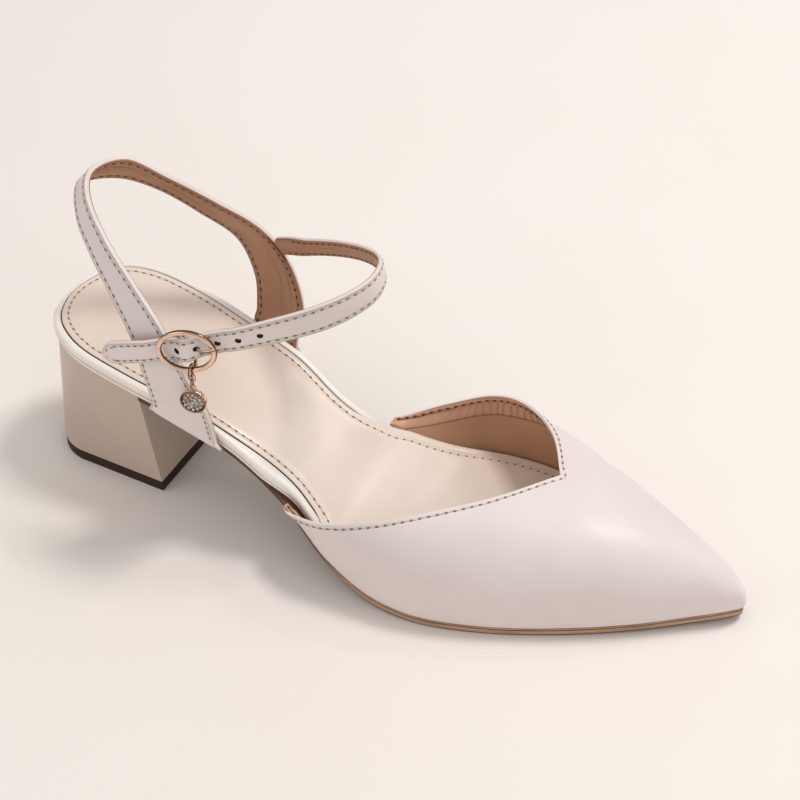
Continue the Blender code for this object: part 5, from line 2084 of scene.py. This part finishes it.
@dataclass
class AnkleStrap:
    """The strap over the ankle, with punched holes and a round free end."""

    path: StrapPath
    sling: Sling
    finishes: Finishes
    stitching: Stitching
    hole: float = 0.0020
    pitch: float = 0.0071
    ahead: float = 0.0033
    starts_at: float = 0.0062
    widening: float = 0.10

    def form(self) -> StrapForm:
        """The strap's form.

        Returns:
            The form.
        """
        path = self.path
        tail = path.whole - path.end_round * (1 - np.sin(np.linspace(0, math.pi / 2, 25)))
        lengths = np.concatenate([np.linspace(self.starts_at, tail[0], 241)[:-1], tail])
        left = np.clip((path.whole - lengths) / path.end_round, 0, 1)
        narrow = np.maximum(np.sqrt(1 - (1 - left) ** 2), 0.06)[:, None]
        out = unit(path.pick(path.out, lengths))
        middle = path.pick(path.middle, lengths) + out * path.wave(lengths)[:, None]
        wider = 1 + self.widening * ease((np.abs(lengths - path.buckle_at) - 0.010) / 0.020)
        half = path.pick(path.half, lengths) * narrow * wider[:, None]
        thin = 0.5 * (1 - np.clip(lengths / path.skive, 0, 1)) ** 2
        middle = middle - out * (path.thickness * thin / 2)[:, None]
        middle = middle + out * self.bedding(lengths, middle, out)[:, None]
        return StrapForm(middle - half, middle + half, out, out, path.thickness * (1 - thin), groove=0.0015)

    def bedding(self, lengths: np.ndarray, middle: np.ndarray, out: np.ndarray) -> np.ndarray:
        """How far the strap's start moves, to lie between the sling's two layers.

        Args:
            lengths: the strap's lengths.
            middle: the middle of its outer face there.
            out: the way that this face looks.

        Returns:
            The move along that way.
        """
        sling = self.sling.form()
        half = slice(len(sling.low) // 2, None)
        share = np.linspace(0, 1, 9)[:, None, None]
        face = sling.low[half] + (sling.high[half] - sling.low[half]) * share
        core = (face - sling.out_high[half] * sling.thickness[half, None] / 2).reshape(-1, 3)
        start = lengths < 0.011
        moves = []
        for point, way in zip(middle[start] - out[start] * self.path.thickness / 2, out[start]):
            nearest = core[np.argmin(np.linalg.norm(core - point, axis=1))]
            moves.append(float(np.dot(nearest - point, way)))
        move = np.full(len(lengths), moves[-1])
        move[start] = moves
        return move * (1 - ease((lengths - 0.010) / 0.012))

    def build(self) -> None:
        """Builds the strap, its holes and its stitches."""
        form = self.form()
        layers = [self.finishes.strap, self.finishes.lining, self.finishes.dark]
        made = form.shell().build("ankle_strap_leather", layers, 45.0)
        punch = Shell()
        for number in range(-3, 2):
            punch.tube(self.hole_axis(number), self.hole / 2, 24)
        cutter = punch.build("hole_punch", [self.finishes.dark])
        cut = made.modifiers.new("punch", "BOOLEAN")
        cut.operation = "DIFFERENCE"
        cut.solver = "EXACT"
        cut.object = cutter
        # painted shade: the holes' walls take the cutter's dark finish
        cut.material_mode = "TRANSFER"
        made = settled(made, 45.0)
        bpy.data.objects.remove(cutter)
        place(made, Body.SHOE, Slot.UPPER, "straps")
        keep = slice(12, len(form.low) - 26)
        self.stitching.sew("ankle_strap_outer_seam", form.rows(False, keep) + [self.tip_line(form)])
        self.stitching.sew("ankle_strap_lining_seam", form.rows(True, keep), lining=True)

    def hole_axis(self, number: int) -> np.ndarray:
        """The two ends of a punched hole's axis, clear of the strap.

        Args:
            number: which hole, with 0 for the prong's own.

        Returns:
            The two ends.
        """
        path = self.path
        length = path.buckle_at - self.ahead + number * self.pitch
        frame = path.frame(length)
        level = float(path.wave(length)) - path.thickness / 2
        return np.array([frame @ Vector((0, 0, level + side * path.thickness * 1.5)) for side in (-1, 1)])

    def tip_line(self, form: StrapForm) -> Line:
        """The stitches round the free end.

        Args:
            form: the strap's form.

        Returns:
            The line.
        """
        path = self.path
        reach = path.end_round - form.groove
        turns = np.linspace(-math.pi / 2, math.pi / 2, 25)
        lengths = path.whole - path.end_round + reach * np.cos(turns)
        half = path.pick(path.half, lengths)
        size = np.linalg.norm(half, axis=1)[:, None]
        out = unit(path.pick(path.out, lengths))
        across = half / size * (size - form.groove) * np.sin(turns)[:, None]
        points = path.pick(path.middle, lengths) + out * (path.wave(lengths)[:, None] - form.sunk) + across
        return Line(points, out)


# Buckle, chain and charm


@dataclass
class Buckle:
    """The oval frame with its bar, the prong and the leather loop that holds them."""

    path: StrapPath
    finishes: Finishes
    bar_wire: float = 0.0013
    bar_reach: float = 0.0053
    loop_leather: float = 0.0007
    loop_width: float = 0.0080
    loop_slot: float = 0.0030
    loop_tail: float = 0.0080
    prong_wire: float = 0.0009
    eye_wire: float = 0.0006
    ahead: float = 0.0033

    def build(self) -> None:
        """Builds the metal and the loop."""
        place(self.frame(), Body.SHOE, Slot.METAL, "buckle_frame")
        place(self.prong(), Body.SHOE, Slot.METAL, "buckle_prong")
        place(self.loop(), Body.SHOE, Slot.UPPER)

    @property
    def level(self) -> float:
        """The bar's level off the strap's face."""
        return self.path.bar_level(self.bar_wire, self.loop_leather)

    def frame(self) -> bpy.types.Object:
        """The frame and its bar.

        Returns:
            The frame.
        """
        path = self.path
        half_length, half_width = path.halves()
        top, low = path.frame_level, self.level
        turns = np.linspace(0, 2 * math.pi, 96, endpoint=False)
        oval = [(half_length * math.cos(turn), half_width * math.sin(turn), top) for turn in turns]
        shell = Shell().tube(path.placed(oval), path.frame_wire / 2, 20, closed=True)
        half = [(0.0, low), (self.bar_reach - 0.0008, low)]
        half += [(self.bar_reach + 0.0005, (top + low) / 2 - 0.0001), (half_width - 0.0002, top)]
        track = [(-across, height) for across, height in reversed(half[1:])] + half
        line = smooth([(0.0, across, height) for across, height in track], np.linspace(0, len(track) - 1, 49))
        shell.tube(path.placed(line), self.bar_wire / 2, 14)
        return shell.build("buckle_oval_frame", [self.finishes.metal])

    def prong(self) -> bpy.types.Object:
        """The prong and its eye round the bar.

        Returns:
            The prong.
        """
        path, level, hole, wire = self.path, self.level, self.ahead, self.prong_wire
        over = path.frame_level + path.frame_wire / 2 + path.last.clearance + wire / 2
        eye = self.bar_wire / 2 + path.last.clearance
        above = float(path.wave(path.buckle_at - hole))
        under = above - path.thickness
        route = [
            (eye + wire / 2, level),
            (hole - 0.0008, level + 0.0001),
            (hole - 0.0002, under - 0.0002),
            (hole + 0.0002, above - 0.0002),
            (hole + 0.0012, above + 0.0010),
            (hole + 0.0030, (above + over) / 2 + 0.0009),
            (path.frame_length / 2 - path.frame_wire, over + 0.0001),
            (path.frame_length / 2 + 0.0006, over - 0.0001),
        ]
        flat = smooth(route, np.linspace(0, len(route) - 1, 71))
        line = path.placed([(x, 0.0, z) for x, z in flat])
        radii = wire / 2 * np.minimum(1.0, 0.55 + np.linspace(2.4, 0, 71))
        shell = Shell().tube(line, radii, 14)
        radius = eye + self.eye_wire / 2
        turns = np.linspace(0, 2 * math.pi, 32, endpoint=False)
        ring = [(radius * math.cos(turn), 0.0, level + radius * math.sin(turn)) for turn in turns]
        shell.tube(path.placed(ring), self.eye_wire / 2, 10, closed=True)
        return shell.build("buckle_prong_pin", [self.finishes.metal])

    def loop(self) -> bpy.types.Object:
        """The folded loop: two sleeves round the bar, joined by the tail behind them.

        Returns:
            The loop.
        """
        hole = self.bar_wire / 2 + self.path.last.clearance
        outside = hole + self.loop_leather
        arc = np.radians(np.linspace(-90, 180, 28))
        outer = [(math.cos(turn) * outside, self.level + math.sin(turn) * outside) for turn in arc]
        inner = [(math.cos(turn) * hole, self.level + math.sin(turn) * hole) for turn in reversed(arc)]
        shell = Shell()
        low = self.level - outside
        high = low + 2 * self.loop_leather
        flap = [(-0.0004, low), (-self.loop_tail, low), (-self.loop_tail, high), (-outside, high)]
        edge, slot = self.loop_width / 2, self.loop_slot / 2
        for outline, cuts in (
            (outer + inner, np.linspace(-edge, -slot, 4)),
            (outer + inner, np.linspace(slot, edge, 4)),
            (flap, np.linspace(-0.5, 0.5, 6) * self.loop_width),
        ):
            shell.loft(np.array([self.path.placed([(x, across, z) for x, z in outline]) for across in cuts]))
        return shell.build("buckle_bar_loop", [self.finishes.upper])


@dataclass
class ChainAndCharm:
    """The jump ring, two links and the round charm with its set stones."""

    path: StrapPath
    finishes: Finishes
    beading: Beading
    lean: float = math.radians(5)
    behind_bar: float = 0.0017
    play: float = 0.0003
    ring_wire: float = 0.0006
    link_length: float = 0.0034
    link_width: float = 0.0023
    link_wire: float = 0.0005
    looks_thicker: float = 1.45
    radius: float = 0.0044
    thickness: float = 0.0018
    dome: float = 0.0006
    bail_radius: float = 0.00105

    def __post_init__(self) -> None:
        """Works out the axes that everything hangs in."""
        frame = self.path.frame(self.path.buckle_at)
        sideways = Vector((frame[0][0], frame[1][0], 0)).normalized()
        tilt = Matrix.Rotation(-self.lean, 3, sideways)
        self.sideways = np.array(sideways)
        self.outside = np.array(tilt @ Vector((frame[0][2], frame[1][2], 0)).normalized())
        self.down = np.array(tilt @ Vector((0, 0, -1)))
        half_length, half_width = self.path.halves()
        turn = -math.asin(self.behind_bar / half_length)
        spot = (half_length * math.sin(turn), -half_width * math.cos(turn), self.path.frame_level)
        self.hook = self.path.placed([spot])[0]

    def oval(self, center: np.ndarray, across: np.ndarray, length: float, width: float) -> np.ndarray:
        """A closed oval that hangs down: two half circles joined by straight sides.

        Args:
            center: its middle.
            across: the way of its width.
            length: how long it is.
            width: how wide it is.

        Returns:
            The points.
        """
        turns = 2 * math.pi * (np.arange(40) + 0.5) / 40
        straight = (length - width) / 2 * np.sign(np.cos(turns))
        along = width / 2 * np.cos(turns) + straight
        return center + self.down * along[:, None] + across * (width / 2 * np.sin(turns))[:, None]

    def build(self) -> None:
        """Builds the chain, the charm and its stones."""
        gap = self.path.last.clearance
        rest = self.path.frame_wire / 2 + gap + self.play + self.ring_wire / 2
        below = self.path.frame_wire / 2 + 2 * gap + self.link_wire + gap + self.ring_wire / 2
        size = (rest + below) / 2
        center = self.hook + self.down * (size - rest)
        circle = self.oval(center, self.outside, 2 * size, 2 * size)
        self.wire("jump_ring", circle, self.ring_wire, "chain_ring")
        low = center + self.down * size
        above = self.ring_wire
        inner_length, inner_width = self.link_length - self.link_wire, self.link_width - self.link_wire
        for number, across in ((1, self.sideways), (2, self.outside)):
            middle = low + self.down * (inner_length / 2 - above / 2 - gap - self.link_wire / 2)
            line = self.oval(middle, across, inner_length, inner_width)
            self.wire(f"oval_link_{number}", line, self.link_wire, f"chain_link_{number}")
            low = middle + self.down * inner_length / 2
            above = self.link_wire
        bail = low + self.down * (self.bail_radius - above / 2 - gap - self.link_wire / 2)
        self.charm(bail)

    def wire(self, name: str, line: np.ndarray, wire: float, node: str) -> None:
        """One closed wire of the chain."""
        shell = Shell().tube(line, wire / 2 * self.looks_thicker, 12, closed=True)
        place(shell.build(name, [self.finishes.metal]), Body.CHAIN, Slot.METAL, node)

    def charm(self, bail: np.ndarray) -> None:
        """The medal with its bail, the stones on its face and the beads on its border.

        Args:
            bail: the bail's middle.
        """
        center = bail + self.down * (self.bail_radius + self.radius - self.link_wire * 0.5)
        across = 2 * self.bail_radius
        eye = self.oval(bail, self.sideways, across, across)
        shell = Shell().tube(eye, self.link_wire / 2, 12, closed=True)
        half, quarter = self.thickness / 2, self.thickness / 4
        dome = self.dome
        profile = [(0.0, -half), (0.55, -half), (0.93, -half), (0.98, -half * 0.8), (1.0, -quarter)]
        profile += [(1.0, quarter), (0.98, half * 0.8), (0.95, half), (0.88, half), (0.85, half * 0.8)]
        profile += [(0.83, quarter), (0.65, quarter + dome * 0.45), (0.40, quarter + dome * 0.8)]
        profile += [(0.0, quarter + dome)]
        start = []
        for (share, level), crest in zip(profile, [1.0] * 9 + [0.5] * 5):
            ring = self.circle(center, share, level)
            sides = len(ring)
            start.append(shell.take(ring, np.tile([0.0, 0.0, crest], (sides, 1))))
        for low, high in zip(start, start[1:]):
            for number in range(sides):
                after = (number + 1) % sides
                shell.face([low + number, low + after, high + after, high + number])
        place(shell.build("round_charm", [self.finishes.metal]), Body.CHARM, Slot.METAL, "charm")
        circles = ((0.64, 0.55), (0.33, 0.95), (0.03, 1.1))
        stones = [self.ring_line(center, share, quarter + dome * lift) for share, lift in circles]
        set_stones = self.beading.string("charm_stones", stones, self.finishes.crystal, 0.00148, 0.00122, 8)
        place(set_stones, Body.CHARM, Slot.METAL)
        border = [self.ring_line(center, 0.915, half)]
        beads = self.beading.string("charm_border_beads", border, self.finishes.metal, 0.00062, 0.00052, 8)
        place(beads, Body.CHARM, Slot.METAL)

    def circle(self, center: np.ndarray, share: float, level: float, count: int = 64) -> np.ndarray:
        """Points of a circle in the charm's plane.

        Args:
            center: the charm's middle.
            share: the radius, as a share of the charm's.
            level: how far outward of the middle.
            count: how many points.

        Returns:
            The points.
        """
        turns = np.linspace(0, 2 * math.pi, count, endpoint=False)
        size = max(self.radius * share, 1e-6)
        flat = self.sideways * np.cos(turns)[:, None] - self.down * np.sin(turns)[:, None]
        return center + flat * size + self.outside * level

    def ring_line(self, center: np.ndarray, share: float, level: float) -> Line:
        """A closed line in the charm's plane, facing outward."""
        points = self.circle(center, share, level, 48)
        return Line(points, np.tile(self.outside, (len(points), 1)), closed=True)


# The studio


@dataclass
class Studio:
    """A plain pale floor, soft lights and the camera at the photograph's place."""

    azimuth: float = 28.18
    elevation: float = 40.26
    roll: float = -0.59
    distance: float = 0.7456
    target: tuple[float, float, float] = (0.10487, 0.07880, 0.040)
    focal: float = 1865.2
    frame: int = 800
    sensor: float = 36.0
    shoe_middle: tuple[float, float] = (358.0, 506.0)
    zoom: float = 1.14

    def build(self) -> None:
        """Builds floor, lights and camera."""
        self.floor()
        self.lights()
        self.camera()

    def axes(self) -> tuple[np.ndarray, np.ndarray, np.ndarray]:
        """The camera's right, up and back vectors.

        Returns:
            The three vectors.
        """
        turn, lift, roll = (math.radians(value) for value in (self.azimuth, self.elevation, self.roll))
        back = np.array([math.sin(turn) * math.cos(lift), -math.cos(turn) * math.cos(lift), math.sin(lift)])
        right = unit(np.cross(-back, [0.0, 0.0, 1.0]))
        up = np.cross(right, -back)
        cosine, sine = math.cos(roll), math.sin(roll)
        return right * cosine + up * sine, up * cosine - right * sine, back

    def camera(self) -> None:
        """Sets up the camera at the photograph's place, aimed at the one shoe."""
        right, up, back = self.axes()
        spot = np.array(self.target) + back * self.distance + ORIGIN
        middle = self.frame / 2
        aside = (self.shoe_middle[0] - middle) / self.focal
        above = (middle - self.shoe_middle[1]) / self.focal
        back = unit(back - right * aside - up * above)
        right = unit(right - back * np.dot(right, back))
        data = bpy.data.cameras.new("camera")
        data.sensor_width = self.sensor
        data.lens = self.focal * self.zoom / self.frame * self.sensor
        data.clip_start = 0.01
        camera = bpy.data.objects.new("camera", data)
        axes = np.column_stack([right, np.cross(back, right), back, spot])
        camera.matrix_world = Matrix([*axes.tolist(), [0, 0, 0, 1]])
        bpy.context.scene.collection.objects.link(camera)
        bpy.context.scene.camera = camera

    def floor(self) -> None:
        """The pale floor."""
        shell = Shell()
        size = 4.0
        corners = np.array([(-1, -1, 0), (1, -1, 0), (1, 1, 0), (-1, 1, 0)]) * size
        start = shell.take(corners - ORIGIN)
        shell.face([start, start + 1, start + 2, start + 3])
        pale = Plain("studio_floor", tone(243, 236, 230), tone(241, 233, 227), 0.6, 6.0, 0.00001)
        shell.build("studio_floor", [pale.material()])

    def lights(self) -> None:
        """A large soft key from the upper right, a weak fill and a pale room."""
        world = bpy.data.worlds.new("room")
        world.use_nodes = True
        room = world.node_tree.nodes["Background"]
        connect(world.node_tree, room, {"Color": (1.0, 0.985, 0.965), "Strength": 0.57})
        bpy.context.scene.world = world
        self.lamp("key", (0.43, 0.52, 1.48), 0.34, 10.6, (1.0, 0.985, 0.97))
        self.lamp("fill", (-0.9, -0.9, 0.8), 0.9, 2.0, (1.0, 0.97, 0.94))
        self.lamp("front", (1.1, -0.5, 0.7), 0.8, 1.1, (1.0, 0.98, 0.96))
        self.lamp("window", (0.50, 0.64, 0.76), 0.14, 0.85, (0.97, 0.98, 1.0))

    @staticmethod
    def lamp(name: str, at: tuple[float, float, float], size: float, power: float, colour: Colour) -> None:
        """A square area light aimed at the shoe.

        Args:
            name: its name.
            at: its place.
            size: the length of its side.
            power: in watts.
            colour: its colour.
        """
        data = bpy.data.lights.new(name, "AREA")
        data.size = size
        data.energy = power
        data.color = colour
        lamp = bpy.data.objects.new(name, data)
        lamp.location = at
        lamp.rotation_euler = (Vector((0.0, 0.0, 0.03)) - Vector(at)).to_track_quat("-Z", "Y").to_euler()
        bpy.context.scene.collection.objects.link(lamp)


def main() -> None:
    """Builds the shoe round its frame, piece by piece."""
    logging.basicConfig(level=logging.INFO, format="%(name)s: %(message)s")
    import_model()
    bpy.context.scene.view_settings.view_transform = "Standard"
    Studio().build()
    last, finishes = Last(), Finishes.make()
    stitching, beading = Stitching(finishes), Beading()
    Bottom(last, finishes).build()
    Footbed(last, finishes, stitching).build()
    Vamp(last, finishes, stitching).build()
    sling = Sling(last, finishes, stitching)
    sling.build()
    path = StrapPath(last)
    AnkleStrap(path, sling, finishes, stitching).build()
    Buckle(path, finishes).build()
    ChainAndCharm(path, finishes, beading).build()


if __name__ == "__main__":
    main()
